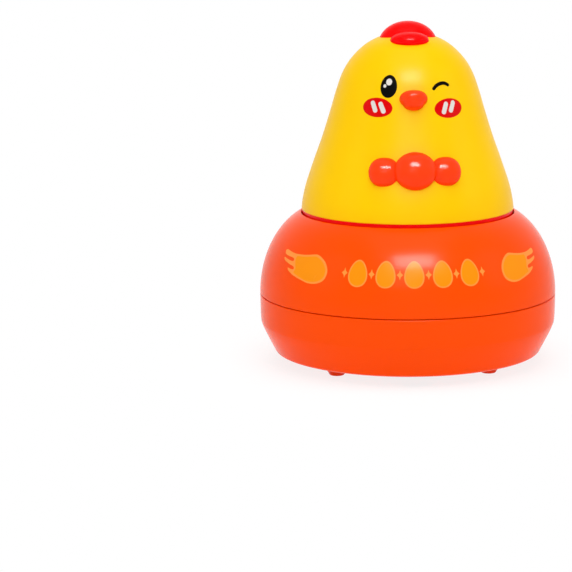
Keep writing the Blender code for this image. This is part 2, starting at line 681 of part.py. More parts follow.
def beak(peg, clearance, look):
    z = RIM_Z + BEAK_RISE
    upper = surface_frame(0.0, z) @ Matrix.Rotation(-BEAK_TILT, 4, "X")
    lower = surface_frame(0.0, z - LOWER_BILL_DROP)
    balls = [((BEAK_HALF_WIDTH, BEAK_HALF_HEIGHT, BEAK_REACH), upper)]
    balls.append(((LOWER_BILL_WIDTH, BEAK_HALF_HEIGHT, LOWER_BILL_REACH), lower))
    return trim("beak", balls, [peg], clearance, look)


def bow_tie(peg, clearance, look):
    z = RIM_Z + BOW_RISE
    turn = BOW_LOBE_REACH / bell_radius_at(z)
    balls = [((BOW_KNOT_RADIUS, BOW_KNOT_RADIUS, BOW_KNOT_RISE), surface_frame(0.0, z))]
    for side in (-1, 1):
        balls.append(((BOW_LOBE_WIDTH, BOW_LOBE_HEIGHT, BOW_LOBE_RISE), surface_frame(side * turn, z)))
    return trim("bow_tie", balls, [peg], clearance, look)


# Press ring and rack


def tab_edges():
    """The rack tab's left, right and inner edges. It stays clear of the clutch gear beside the rack."""
    left = PINION_LEFT - TAB_SIDE
    right = CLUTCH_FACE - 2 * GAP
    inner = RACK_PITCH_Y + TAB_INSIDE
    return left, right, inner


def rack_thickness():
    return RACK_PITCH_Y + MODULE * ADDENDUM - RACK_BACK_Y


def press_ring(look):
    outer = OPENING_RADIUS + RING_REACH - OPENING_GAP
    profile = [(outer, RING_BOTTOM), (outer, RING_TOP), (RING_INNER_RADIUS, RING_TOP),
               (RING_INNER_RADIUS, RING_BOTTOM)]
    mesh = bmesh.new()
    revolve(mesh, "Z", profile, ROUND_SEGMENTS)
    ring = solid("press_ring", mesh, look)
    tool = bmesh.new()
    for side in (-1, 1):
        low, high = sorted((side * POST_SIDE, side * TAB_FRONT))
        arm = rectangle(low, -POST_FRONT - SLEEVE_ARM, high, -POST_FRONT + SLEEVE_ARM)
        prism(tool, "Z", arm, RING_BOTTOM, RING_TOP)
    for x, y in ear_spots():
        rod(tool, "Z", ear_radius(), RING_BOTTOM, RING_TOP, (x, y))
    left, right, inner = tab_edges()
    prism(tool, "Z", rectangle(left, -TAB_FRONT, right, inner), RING_BOTTOM, RING_TOP)
    combine(ring, solid("press_ring_ears", tool), "UNION")
    tool = bmesh.new()
    for side in (-1, 1):
        rod(tool, "Z", SLEEVE_RADIUS, RING_BOTTOM, RING_TOP + SLEEVE_HEIGHT, (side * POST_SIDE, -POST_FRONT))
    combine(ring, solid("press_ring_sleeves", tool), "UNION")
    tool = bmesh.new()
    for side in (-1, 1):
        rod(tool, "Z", POST_RADIUS + RUNNING_GAP, RING_BOTTOM - GAP, RING_TOP + SLEEVE_HEIGHT + GAP,
            (side * POST_SIDE, -POST_FRONT))
    for x, y in ear_spots():
        rod(tool, "Z", SCREW_RADIUS + GAP, RING_BOTTOM - GAP, RING_TOP + GAP, (x, y), SCREW_SEGMENTS)
    stem = rack_stem()
    prism(tool, "Z", rectangle(stem[0] - GAP, stem[1] - GAP, stem[2] + GAP, stem[3] + GAP),
          RING_BOTTOM - GAP, RING_TOP + GAP)
    rod(tool, "Z", SCREW_RADIUS + GAP, RING_BOTTOM - GAP, RING_TOP + GAP, rack_screw_spot(), SCREW_SEGMENTS)
    combine(ring, solid("press_ring_holes", tool), "DIFFERENCE")
    return ring


def rack_stem():
    """The rack's stem in plan: left, front, right and rear edges."""
    return (PINION_LEFT + GAP, RACK_BACK_Y, PINION_RIGHT - GAP, RACK_PITCH_Y - MODULE * DEDENDUM)


def rack_screw_spot():
    left = tab_edges()[0]
    return ((left + PINION_LEFT) / 2, RACK_MIDDLE_Y)


def tooth_levels(phase_z):
    """Heights of the rack's tooth middles, from the one in mesh at phase_z, over the stretch that works."""
    pitch = pi * MODULE
    low = RACK_LOW + pitch
    high = PINION.y + PRESS_TRAVEL + pitch
    first = ceil((low - phase_z) / pitch)
    levels = []
    while phase_z + first * pitch < min(high, RING_BOTTOM - pitch):
        levels.append(phase_z + first * pitch)
        first += 1
    return levels


def press_rack(look):
    """The rack: a toothed stem, seen from the side, with a head that lies on the ring's tab."""
    root = RACK_PITCH_Y - MODULE * DEDENDUM
    tip = RACK_PITCH_Y + MODULE * ADDENDUM
    half_pitch_line = pi * MODULE / 4 - BACKLASH / 2
    half_tip = half_pitch_line - MODULE * ADDENDUM * tan(PRESSURE_ANGLE)
    half_root = half_pitch_line + MODULE * DEDENDUM * tan(PRESSURE_ANGLE)
    head_low = RING_TOP + GAP
    outline = [(RACK_BACK_Y, head_low), (RACK_BACK_Y, RACK_LOW), (root, RACK_LOW)]
    for level in tooth_levels(PINION.y):
        outline += [(root, level - half_root), (tip, level - half_tip), (tip, level + half_tip),
                    (root, level + half_root)]
    outline += [(root, head_low)]
    mesh = bmesh.new()
    stem = rack_stem()
    prism(mesh, "X", outline, stem[0], stem[2])
    rack = solid("press_rack", mesh, look)
    left, right, inner = tab_edges()
    tool = bmesh.new()
    prism(tool, "Z", rectangle(left + GAP, RACK_BACK_Y - RACK_REACH, right - GAP, inner - GAP),
          head_low, head_low + RACK_HEAD_HEIGHT)
    combine(rack, solid("press_rack_head", tool), "UNION")
    tool = bmesh.new()
    rod(tool, "Z", SCREW_RADIUS + GAP, head_low - GAP, head_low + RACK_HEAD_HEIGHT + GAP, rack_screw_spot(),
        SCREW_SEGMENTS)
    combine(rack, solid("press_rack_hole", tool), "DIFFERENCE")
    return rack


# Gears


def gear_outline(teeth, phase):
    """A gear's outline about its own centre, four points a tooth, with one tooth at the phase angle."""
    pitch_radius = MODULE * teeth / 2
    tip = pitch_radius + MODULE * ADDENDUM
    root = pitch_radius - MODULE * DEDENDUM
    base = pitch_radius * cos(PRESSURE_ANGLE)
    spread = pi / (2 * teeth) - BACKLASH / (2 * pitch_radius)
    wide = spread + tan(PRESSURE_ANGLE) - PRESSURE_ANGLE
    tip_tan = sqrt((tip / base)**2 - 1)
    narrow = wide - (tip_tan - atan2(tip_tan, 1.0))
    if root > base:
        root_tan = sqrt((root / base)**2 - 1)
        wide -= root_tan - atan2(root_tan, 1.0)
    outline = []
    for k in range(teeth):
        middle = phase + 2 * pi * k / teeth
        for radius, angle in ((root, -wide), (tip, -narrow), (tip, narrow), (root, wide)):
            outline.append((radius * cos(middle + angle), radius * sin(middle + angle)))
    return outline


def meshed_phase(teeth_a, phase_a, teeth_b, lean):
    """The phase of gear b that puts its gap on gear a's tooth. lean is the direction from a to b."""
    return lean + pi - pi / teeth_b - (phase_a - lean) * teeth_a / teeth_b


PINION_PHASE = pi + pi / PINION_TEETH
CLUTCH_PHASE = 0.0
COMPOUND_SMALL_PHASE = meshed_phase(CLUTCH_TEETH, CLUTCH_PHASE, COMPOUND_SMALL_TEETH, CLUTCH_LEAN - pi)
COMPOUND_LARGE_PHASE = 0.0
IDLER_PHASE = meshed_phase(COMPOUND_LARGE_TEETH, COMPOUND_LARGE_PHASE, IDLER_TEETH, COMPOUND_LEAN - pi)
AXLE_PHASE = meshed_phase(IDLER_TEETH, IDLER_PHASE, AXLE_TEETH, IDLER_LEAN - pi)
FLYWHEEL_PHASE = meshed_phase(IDLER_TEETH, IDLER_PHASE, FLYWHEEL_TEETH, FLYWHEEL_LEAN)


def gear(mesh, teeth, phase, low, high, bore=BORE_RADIUS):
    prism(mesh, "X", gear_outline(teeth, phase), low, high, [circle(bore, SMALL_SEGMENTS)])


def clutch_crown(mesh, low, high):
    """Wedge-shaped clutch teeth round the bore, each a separate block that a union joins to its gear."""
    inner = BORE_RADIUS + CROWN_WALL
    outer = MODULE * (PINION_TEETH / 2 - DEDENDUM) - CROWN_EDGE
    for k in range(CROWN_TEETH):
        start = 2 * pi * k / CROWN_TEETH
        end = start + CROWN_SPAN
        outline = [(inner * cos(start), inner * sin(start)), (outer * cos(start), outer * sin(start)),
                   (outer * cos(end), outer * sin(end)), (inner * cos(end), inner * sin(end))]
        prism(mesh, "X", outline, low, high)


def at_shaft(shaft):
    """A location with its X at the middle of the toy and its Y and Z on a shaft."""
    return (0.0, shaft.x, shaft.y)


def rack_pinion(look):
    mesh = bmesh.new()
    gear(mesh, PINION_TEETH, PINION_PHASE, PINION_LEFT, PINION_RIGHT)
    piece = solid("rack_pinion", mesh, look, at_shaft(PINION))
    tool = bmesh.new()
    clutch_crown(tool, PINION_RIGHT - CROWN_DEPTH, PINION_RIGHT + CROWN_DEPTH)
    combine(piece, solid("rack_pinion_crown", tool, None, at_shaft(PINION)), "UNION")
    return piece


def clutch_gear(look):
    mesh = bmesh.new()
    gear(mesh, CLUTCH_TEETH, CLUTCH_PHASE, CLUTCH_FACE, CLUTCH_RIGHT)
    piece = solid("clutch_gear", mesh, look, at_shaft(PINION))
    tool = bmesh.new()
    clutch_crown(tool, CLUTCH_FACE - CROWN_DEPTH, CLUTCH_FACE + CROWN_DEPTH)
    combine(piece, solid("clutch_gear_crown", tool, None, at_shaft(PINION)), "UNION")
    return piece


def compound_gear(look):
    mesh = bmesh.new()
    gear(mesh, COMPOUND_LARGE_TEETH, COMPOUND_LARGE_PHASE, TRAIN_LEFT, TRAIN_RIGHT)
    piece = solid("compound_gear", mesh, look, at_shaft(COMPOUND))
    tool = bmesh.new()
    gear(tool, COMPOUND_SMALL_TEETH, COMPOUND_SMALL_PHASE, CLUTCH_FACE - GAP, CLUTCH_RIGHT + GAP)
    combine(piece, solid("compound_gear_small", tool, None, at_shaft(COMPOUND)), "UNION")
    tool = bmesh.new()
    rod(tool, "X", HUB_TUBE_RADIUS, TRAIN_LEFT + GEAR_WIDTH / 2, CLUTCH_FACE + GEAR_WIDTH / 2,
        bore=BORE_RADIUS)
    combine(piece, solid("compound_gear_tube", tool, None, at_shaft(COMPOUND)), "UNION")
    return piece


def simple_gear(name, teeth, phase, shaft, look):
    mesh = bmesh.new()
    gear(mesh, teeth, phase, TRAIN_LEFT, TRAIN_RIGHT)
    return solid(name, mesh, look, at_shaft(shaft))


def flywheel(look):
    mesh = bmesh.new()
    half = FLYWHEEL_WIDTH / 2
    rod(mesh, "X", FLYWHEEL_RADIUS, -half, half, segments=24, bore=BORE_RADIUS)
    return solid("flywheel", mesh, look, at_shaft(FLYWHEEL))


def flywheel_shaft(look):
    mesh = bmesh.new()
    prism(mesh, "X", gear_outline(FLYWHEEL_TEETH, FLYWHEEL_PHASE), TRAIN_LEFT, TRAIN_RIGHT)
    piece = solid("flywheel_shaft", mesh, look, at_shaft(FLYWHEEL))
    tool = bmesh.new()
    rod(tool, "X", PIN_RADIUS, -BOX_OUTER, BOX_OUTER)
    combine(piece, solid("flywheel_shaft_rod", tool, None, at_shaft(FLYWHEEL)), "UNION")
    return piece


def pin(name, shaft, look):
    mesh = bmesh.new()
    rod(mesh, "X", PIN_RADIUS, -BOX_OUTER, BOX_OUTER)
    return solid(name, mesh, look, at_shaft(shaft))


# Gearbox


def foot_x():
    return BOX_OUTER + FOOT_LENGTH / 2 + FOOT_STEP


def foot_places():
    """The two Y positions of a gearbox plate's feet."""
    return PINION.x - FRONT_FOOT_STEP, IDLER.x - REAR_FOOT_STEP


def plate_outline():
    """A gearbox plate seen from the side, as (y, z)."""
    low = FLOOR_Z + FOOT_BOSS_HEIGHT + GAP
    front = RACK_BACK_Y - GUIDE_THICKNESS - GAP - PLATE_MARGIN / 2
    shoulder = PRESSED_Z - 2 * GAP
    neck = PINION.x - PLATE_MARGIN - PIN_RADIUS
    high = max(s.y for s in spacer_spots()) + PLATE_MARGIN
    rear = max(AXLE.x, FLYWHEEL.x) + PLATE_MARGIN + PIN_RADIUS
    slope = PLATE_MARGIN
    return [(front, low), (rear, low), (rear, high - slope), (rear - slope, high), (neck + slope, high),
            (neck, high - slope), (neck, shoulder), (front, shoulder)]


def spacer_spots():
    """Centres of the three gearbox spacers, each clear of the gears round it."""
    clutch_tip = MODULE * (CLUTCH_TEETH / 2 + ADDENDUM)
    clear = clutch_tip + SPACER_RADIUS + SPACER_GAP
    upper_front = across(PINION, clear, FRONT_SPACER_LEAN)
    lower = across(PINION, clear, LOWER_SPACER_LEAN)
    large_tip = MODULE * (COMPOUND_LARGE_TEETH / 2 + ADDENDUM)
    upper_rear = across(COMPOUND, large_tip + SPACER_RADIUS + REAR_SPACER_GAP, REAR_SPACER_LEAN)
    return [upper_front, lower, upper_rear]


def guide_levels():
    """The rack guide's bottom, tenon and top levels."""
    low = FLOOR_Z + FOOT_BOSS_HEIGHT + GAP + GUIDE_RISE
    high = PRESSED_Z - 3 * GAP
    middle = (low + high) / 2
    return low, middle - GUIDE_TENON, middle + GUIDE_TENON, high


def gearbox_plate(name, side, look):
    tenon_low, tenon_high = guide_levels()[1:3]
    holes = [circle(BORE_RADIUS, SMALL_SEGMENTS, tuple(s)) for s in (PINION, COMPOUND, IDLER, FLYWHEEL)]
    holes.append(circle(bush_radius() + GAP, SMALL_SEGMENTS, tuple(AXLE)))
    holes += [circle(SCREW_RADIUS + GAP, SCREW_SEGMENTS, tuple(s)) for s in spacer_spots()]
    guide_front = RACK_BACK_Y - GAP - GUIDE_THICKNESS
    if side < 0:
        holes.append(rectangle(guide_front - GAP, tenon_low - GAP, RACK_BACK_Y, tenon_high + GAP))
    mesh = bmesh.new()
    ends = sorted((side * BOX_HALF_WIDTH, side * BOX_OUTER))
    prism(mesh, "X", plate_outline(), ends[0], ends[1], holes)
    plate = solid(name, mesh, look)
    tool = bmesh.new()
    bottom = FLOOR_Z + FOOT_BOSS_HEIGHT + GAP
    for foot_y in foot_places():
        low, high = sorted((side * (BOX_OUTER - PLATE_THICKNESS / 2), side * (BOX_OUTER + FOOT_LENGTH)))
        foot = rectangle(low, foot_y - FOOT_WIDTH / 2, high, foot_y + FOOT_WIDTH / 2)
        hole = circle(SCREW_RADIUS + GAP, SCREW_SEGMENTS, (side * foot_x(), foot_y))
        prism(tool, "Z", foot, bottom, bottom + FOOT_HEIGHT, [hole])
    combine(plate, solid(name + "_feet", tool), "UNION")
    return plate


def rack_guide(look):
    """The bar behind the rack, held by a tenon in the left plate. It ends before the clutch gear."""
    low, tenon_low, tenon_high, high = guide_levels()
    inner = -BOX_HALF_WIDTH + GAP
    outline = [(inner, low), (PINION_RIGHT, low), (PINION_RIGHT, high), (inner, high), (inner, tenon_high),
               (-BOX_OUTER, tenon_high), (-BOX_OUTER, tenon_low), (inner, tenon_low)]
    mesh = bmesh.new()
    prism(mesh, "Y", outline, RACK_BACK_Y - GAP - GUIDE_THICKNESS, RACK_BACK_Y - GAP)
    return solid("rack_guide", mesh, look)


def gearbox_spacers(look):
    for index, spot in enumerate(spacer_spots(), 1):
        mesh = bmesh.new()
        rod(mesh, "X", SPACER_RADIUS, -BOX_HALF_WIDTH + GAP, BOX_HALF_WIDTH - GAP, tuple(spot),
            bore=SCREW_RADIUS + GAP)
        solid(f"gearbox_spacer_{index}", mesh, look)


def screw(name, axis, centre, seat, tip, look, radius=SCREW_RADIUS, head=SCREW_HEAD_RADIUS,
          sides=SCREW_SEGMENTS):
    """A screw whose head rests on seat, with its shank reaching tip, away from the head."""
    mesh = bmesh.new()
    away = 1 if seat > tip else -1
    near = seat + away * GAP
    end = near + away * SCREW_HEAD_HEIGHT
    profile = [(0.0, end), (0.0, tip), (radius, tip), (radius, near), (head, near), (head, end)]
    revolve(mesh, axis, profile, sides, centre=centre)
    return solid(name, mesh, look)


def gearbox_screws(look):
    for index, spot in enumerate(spacer_spots(), 1):
        screw(f"gearbox_screw_{index}", "X", tuple(spot), BOX_OUTER, -BOX_OUTER, look)


def foot_screws(look):
    top = FLOOR_Z + FOOT_BOSS_HEIGHT + GAP + FOOT_HEIGHT
    spots = [(side * foot_x(), foot_y) for side in (-1, 1) for foot_y in foot_places()]
    for index, spot in enumerate(spots, 1):
        screw(f"gearbox_foot_screw_{index}", "Z", spot, top, FLOOR_Z - HOLE_FLOOR + GAP, look)


# Axle and wheels


def bush_radius():
    return AXLE_RADIUS + GAP + BUSH_WALL


def axle_bush(name, side, look):
    """A flanged bush that lines a gearbox plate where the axle runs through it."""
    flange = bush_radius() + BUSH_FLANGE
    bore = AXLE_RADIUS + GAP
    inside = side * (BOX_HALF_WIDTH + BUSH_INSET)
    face = side * (BOX_OUTER + GAP)
    outside = side * (BOX_OUTER + 4 * GAP)
    profile = [(bore, inside), (bush_radius(), inside), (bush_radius(), face), (flange, face), (flange, outside),
               (bore, outside)]
    mesh = bmesh.new()
    revolve(mesh, "X", profile, SMALL_SEGMENTS, centre=tuple(AXLE))
    return solid(name, mesh, look)


def axle(look):
    mesh = bmesh.new()
    half = WHEEL_TRACK / 2 + TYRE_WIDTH / 2 + AXLE_OVERHANG
    rod(mesh, "X", AXLE_RADIUS, -half, half)
    return solid("axle", mesh, look, at_shaft(AXLE))


def wheel_hub(name, side, look):
    """A dished hub: a rim for the tyre, a thin web and a boss on the axle."""
    middle = side * WHEEL_TRACK / 2
    half = TYRE_WIDTH / 2
    outer = WHEEL_RADIUS - TYRE_DEPTH - GAP
    inner = outer - HUB_RIM
    bore = AXLE_RADIUS + GAP
    web = HUB_WEB / 2
    profile = [(bore, -half), (HUB_BOSS_RADIUS, -half), (HUB_BOSS_RADIUS, -web), (inner, -web), (inner, -half),
               (outer, -half), (outer, half), (inner, half), (inner, web), (HUB_BOSS_RADIUS, web),
               (HUB_BOSS_RADIUS, half), (bore, half)]
    mesh = bmesh.new()
    revolve(mesh, "X", profile, BOSS_SEGMENTS)
    bmesh.ops.translate(mesh, vec=(middle, 0.0, 0.0), verts=mesh.verts[:])
    return solid(name, mesh, look, at_shaft(AXLE))


def tyre(name, side, look):
    """A ring of rubber with rounded shoulders, with a corner of its outline straight below the axle."""
    half = TYRE_WIDTH / 2
    inner = WHEEL_RADIUS - TYRE_DEPTH
    shoulder = WHEEL_RADIUS - TYRE_SHOULDER
    flat = half - TYRE_SHOULDER
    profile = [(inner, -half), (shoulder, -half), (WHEEL_RADIUS, -flat), (WHEEL_RADIUS, flat), (shoulder, half),
               (inner, half)]
    mesh = bmesh.new()
    revolve(mesh, "X", profile, TYRE_SEGMENTS)
    bmesh.ops.translate(mesh, vec=(side * WHEEL_TRACK / 2, 0.0, 0.0), verts=mesh.verts[:])
    return solid(name, mesh, look, at_shaft(AXLE))


# Posts and springs


def guide_post(name, side, look):
    mesh = bmesh.new()
    rod(mesh, "Z", POST_RADIUS, 0.0, RING_TOP + SLEEVE_HEIGHT - FLOOR_Z - 2 * GAP)
    return solid(name, mesh, look, (side * POST_SIDE, -POST_FRONT, FLOOR_Z + GAP))


def coil(name, radius, wire, turns, start, end, place, look):
    """An open coil between two points along a line, as a curve with a bevel and filled caps."""
    low = Vector(start)
    along = Vector(end) - low
    across_one = Vector((1.0, 0.0, 0.0)) if abs(along.x) < abs(along.z) else Vector((0.0, 1.0, 0.0))
    across_two = along.normalized().cross(across_one)
    steps = 8 * turns
    line = bpy.data.curves.new(name, "CURVE")
    line.dimensions = "3D"
    line.bevel_depth = wire / 2
    line.bevel_resolution = 0
    line.use_fill_caps = True
    spline = line.splines.new("POLY")
    spline.points.add(steps)
    for k in range(steps + 1):
        turn = 2 * pi * turns * k / steps
        point = low + along * (k / steps) + radius * (across_one * cos(turn) + across_two * sin(turn))
        spline.points[k].co = (*point, 1.0)
    line.materials.append(look)
    obj = bpy.data.objects.new(name, line)
    bpy.context.collection.objects.link(obj)
    obj.location = place
    return obj


def return_spring(name, side, look):
    low = FLOOR_Z + POST_BOSS_HEIGHT + GAP + SPRING_WIRE / 2
    high = RING_BOTTOM - GAP - SPRING_WIRE / 2
    return coil(name, SPRING_RADIUS, SPRING_WIRE, SPRING_TURNS, (0.0, 0.0, low), (0.0, 0.0, high),
                (side * POST_SIDE, -POST_FRONT, 0.0), look)


def clutch_spring(look):
    low = CLUTCH_RIGHT + GAP + CLUTCH_WIRE / 2
    high = BOX_HALF_WIDTH - GAP - CLUTCH_WIRE / 2
    return coil("clutch_spring", BORE_RADIUS + CLUTCH_SPRING_GAP, CLUTCH_WIRE, CLUTCH_TURNS, (low, 0.0, 0.0),
                (high, 0.0, 0.0), at_shaft(PINION), look)


# Fasteners of the shells


def base_screws(look):
    for side, word in ((-1, "front"), (1, "rear")):
        screw("base_screw_" + word, "Z", (0.0, side * BASE_SCREW_Y), SCREW_SEAT_Z, UPPER_BOSS_TOP - GAP, look,
              BASE_SCREW_RADIUS, BASE_SCREW_HEAD_RADIUS, SMALL_SEGMENTS)


def body_screws(look):
    tip = SKIRT_Z + EAR_BOSS_HEIGHT - 2 * EAR_HOLE_FLOOR
    return [screw(f"body_screw_{index}", "Z", spot, RING_BOTTOM, tip, look)
            for index, spot in enumerate(ear_spots(), 1)]


def rack_screw(look):
    return screw("rack_screw", "Z", rack_screw_spot(), RING_TOP + GAP + RACK_HEAD_HEIGHT, RING_BOTTOM, look)


def parented(name, location, pieces):
    """An empty on a joint's axis that carries the pieces of one moving body."""
    empty = bpy.data.objects.new(name, None)
    bpy.context.collection.objects.link(empty)
    empty.location = location
    bpy.context.view_layer.update()
    for piece in pieces:
        piece.parent = empty
        piece.matrix_parent_inverse = empty.matrix_world.inverted()


def build():
    clear_scene()
    orange = material("orange_plastic", ORANGE)
    yellow = material("yellow_plastic", YELLOW)
    red = material("red_plastic", RED)
    trim_orange = material("trim_plastic", TRIM_ORANGE)
    rubber = material("tyre_rubber", TYRE_BLACK)
    hub_white = material("hub_plastic", HUB_WHITE)
    gear_white = material("gear_plastic", GEAR_WHITE)
    box_grey = material("gearbox_plastic", BOX_GREY)
    steel = material("steel", STEEL)

    base_lower_shell(orange)
    base_upper_shell(orange)
    base_screws(steel)
    for side, word in ((-1, "left"), (1, "right")):
        guide_post("guide_post_" + word, side, steel)
        return_spring("return_spring_" + word, side, steel)
        gearbox_plate("gearbox_plate_" + word, side, box_grey)
        axle_bush("axle_bush_" + word, side, box_grey)
    rack_guide(box_grey)
    gearbox_spacers(box_grey)
    gearbox_screws(steel)
    foot_screws(steel)
    pin("pinion_pin", PINION, steel)
    pin("compound_pin", COMPOUND, steel)
    pin("idler_pin", IDLER, steel)
    clutch_spring(steel)

    clearance = bell_clearance()
    pegs = peg_spots()
    body = [half_shell("body_front_shell", -1, yellow), half_shell("body_rear_shell", 1, yellow)]
    body += [beak(pegs[0], clearance, trim_orange), bow_tie(pegs[1], clearance, trim_orange)]
    body += [comb_half("comb_front", -1, [pegs[2]], clearance, red)]
    body += [comb_half("comb_rear", 1, [pegs[3]], clearance, red)]
    body += [press_ring(box_grey), press_rack(gear_white), rack_screw(steel), *body_screws(steel)]
    parented("press_body", (0.0, 0.0, RING_BOTTOM), body)

    rack_pinion(gear_white)
    clutch_gear(gear_white)
    compound_gear(gear_white)
    simple_gear("idler_gear", IDLER_TEETH, IDLER_PHASE, IDLER, gear_white)
    parented("flywheel_body", at_shaft(FLYWHEEL), [flywheel(steel), flywheel_shaft(steel)])
    rolling = [axle(steel), simple_gear("axle_gear", AXLE_TEETH, AXLE_PHASE, AXLE, gear_white)]
    for side, word in ((-1, "left"), (1, "right")):
        rolling += [wheel_hub("wheel_hub_" + word, side, hub_white), tyre("tyre_" + word, side, rubber)]
    parented("axle_body", at_shaft(AXLE), rolling)


build()
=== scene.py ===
# %% [markdown]
# # A press-and-go toy chick, dressed for its picture
#
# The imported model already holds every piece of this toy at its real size: the yellow body that is pressed
# down, the orange base, the springs and the gears. This lesson puts fine surfaces over the moulded pieces,
# prints the face and the ornament, and gives each plastic its own finish. All lengths are in metres, in the
# model's own place.

import json
from math import asin, atan2, cos, hypot, pi, radians, sin, sqrt

import bmesh
import bpy
from mathutils import Matrix, Vector


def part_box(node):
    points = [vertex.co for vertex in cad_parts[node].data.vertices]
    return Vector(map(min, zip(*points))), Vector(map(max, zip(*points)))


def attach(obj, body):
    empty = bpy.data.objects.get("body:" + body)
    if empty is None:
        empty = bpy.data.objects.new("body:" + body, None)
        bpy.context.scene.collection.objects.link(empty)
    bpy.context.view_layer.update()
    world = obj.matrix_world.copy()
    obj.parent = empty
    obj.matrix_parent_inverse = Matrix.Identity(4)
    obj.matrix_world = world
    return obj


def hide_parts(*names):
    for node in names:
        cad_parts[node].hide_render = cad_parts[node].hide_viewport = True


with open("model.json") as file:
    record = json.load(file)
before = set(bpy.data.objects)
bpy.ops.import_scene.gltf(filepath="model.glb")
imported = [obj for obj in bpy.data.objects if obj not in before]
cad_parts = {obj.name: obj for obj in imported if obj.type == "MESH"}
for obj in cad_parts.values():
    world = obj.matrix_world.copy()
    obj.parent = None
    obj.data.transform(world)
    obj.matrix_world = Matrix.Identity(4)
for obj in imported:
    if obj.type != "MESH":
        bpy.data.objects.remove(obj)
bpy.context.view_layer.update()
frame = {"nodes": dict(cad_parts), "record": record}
MM = 0.001
print("pieces in the model:", len(frame["nodes"]))

# %% [markdown]
# ## The shape that everything sits on
#
# The body and the base are turned shapes, so one outline each describes them. The outlines are given as a
# few points, as shares of the real radius and height, and a smooth curve is drawn through them. A curve
# object could hold them as well, but plain points can also be asked where the surface is at a height, and
# the prints, the beak and the bow tie all need to know that.

# %% Real sizes of the body and the base
BELL_RADIUS = 30.7 * MM
BELL_HEIGHT = 51.0 * MM
BELL_WALL = 1.6 * MM
BASE_RADIUS = 42.9 * MM
CROWN_RADIUS = 24.0 * MM
UPPER_RISE = 25.5 * MM
LOWER_DEPTH = 17.5 * MM
SEAM_HEIGHT = 20.5 * MM
SEAM_GAP = 0.22 * MM
GROUND_CLEARANCE = 3.0 * MM
WALL = 1.8 * MM
OPENING_PLAY = 0.6 * MM
RIM_RISE = 0.8 * MM
SKIRT_DEPTH = 3.6 * MM
print("body and base, mm across:", round(2 * BELL_RADIUS / MM, 1), round(2 * BASE_RADIUS / MM, 1))

# %% Heights that follow from the sizes
# The upper shell is a quarter of an ellipse, from the crown's radius out to the base's, and the round opening
# cuts it off where its radius is the opening's. OPENING_SHARE is how far up its rise that is.
SEAM_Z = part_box("base_lower_shell")[0][2] + SEAM_HEIGHT
OPENING_RADIUS = BELL_RADIUS + OPENING_PLAY
OPENING_SHARE = sqrt(1 - ((OPENING_RADIUS - CROWN_RADIUS) / (BASE_RADIUS - CROWN_RADIUS))**2)
OPENING_Z = SEAM_Z + UPPER_RISE * OPENING_SHARE
RIM_Z = OPENING_Z + RIM_RISE
CROWN_Z = RIM_Z + BELL_HEIGHT
SKIRT_Z = OPENING_Z - SKIRT_DEPTH
FLOOR_Z = GROUND_CLEARANCE + WALL
print("seam, opening and crown, mm up:", *(round(z / MM, 1) for z in (SEAM_Z, OPENING_Z, CROWN_Z)))


# %% A smooth curve through a few points
def smooth(points, steps):
    """Points on a smooth curve that passes through the given ones."""
    count = len(points)
    drawn = []
    for k in range(count - 1):
        before = Vector(points[max(k - 1, 0)])
        start = Vector(points[k])
        end = Vector(points[k + 1])
        after = Vector(points[min(k + 2, count - 1)])
        for step in range(steps):
            t = step / steps
            bend = (2 * start + (end - before) * t + (2 * before - 5 * start + 4 * end - after) * t**2
                    + (3 * start - before - 3 * end + after) * t**3) / 2
            drawn.append(tuple(bend))
    drawn.append(tuple(points[-1]))
    return drawn


print("points on a curve through 3:", len(smooth(((0, 0), (1, 1), (2, 0)), 4)))

# %% The outlines of the bell and of the two base shells
BELL_SHAPE = ((0.0, 1.0), (0.19, 0.99), (0.37, 0.943), (0.51, 0.868), (0.60, 0.786), (0.663, 0.686),
              (0.727, 0.556), (0.799, 0.418), (0.88, 0.282), (0.955, 0.147), (0.988, 0.06), (1.0, 0.0))
LOWER_SHAPE = ((1.0, 0.0), (0.996, 0.40), (0.984, 0.53), (0.949, 0.714), (0.911, 0.895))
FOOT_SHAPE = ((0.911, 0.895), (0.893, 0.965), (0.851, 1.0))
BELL_STEPS, UPPER_STEPS, LOWER_STEPS, FOOT_STEPS = 8, 48, 9, 6
# A thousandth of a millimetre, less than any view shows.
HAIR = 1e-6

# The crown is flat on the axis, so the curve starts from the mirror image of its second point.
bell_points = [(r * BELL_RADIUS, RIM_Z + h * BELL_HEIGHT) for r, h in BELL_SHAPE]
mirrored = [(-bell_points[1][0], bell_points[1][1])] + bell_points
BELL = [(0.0, CROWN_Z)] + [p for p in smooth(mirrored, BELL_STEPS) if p[0] > HAIR]
upper_turns = [asin(OPENING_SHARE) * (1 - k / UPPER_STEPS) for k in range(UPPER_STEPS + 1)]
UPPER = [(CROWN_RADIUS + (BASE_RADIUS - CROWN_RADIUS) * cos(t), SEAM_Z + UPPER_RISE * sin(t))
         for t in upper_turns]
lower_points = [(r * BASE_RADIUS, SEAM_Z - d * LOWER_DEPTH) for r, d in LOWER_SHAPE]
foot_points = [(r * BASE_RADIUS, SEAM_Z - d * LOWER_DEPTH) for r, d in FOOT_SHAPE]
LOWER = smooth(lower_points, LOWER_STEPS) + smooth(foot_points, FOOT_STEPS)[1:]
print("outline points:", len(BELL), len(UPPER), len(LOWER))


# %% Where the surface is at a height
def surface(outline, z):
    """The outline's radius at a height, and the lean of its outward face as (outwards, upwards)."""
    for (r_high, z_high), (r_low, z_low) in zip(outline, outline[1:]):
        if z_low <= z <= z_high:
            share = (z - z_low) / (z_high - z_low)
            facing = Vector((z_high - z_low, r_low - r_high)).normalized()
            return r_low + (r_high - r_low) * share, facing
    raise ValueError("no surface at this height")


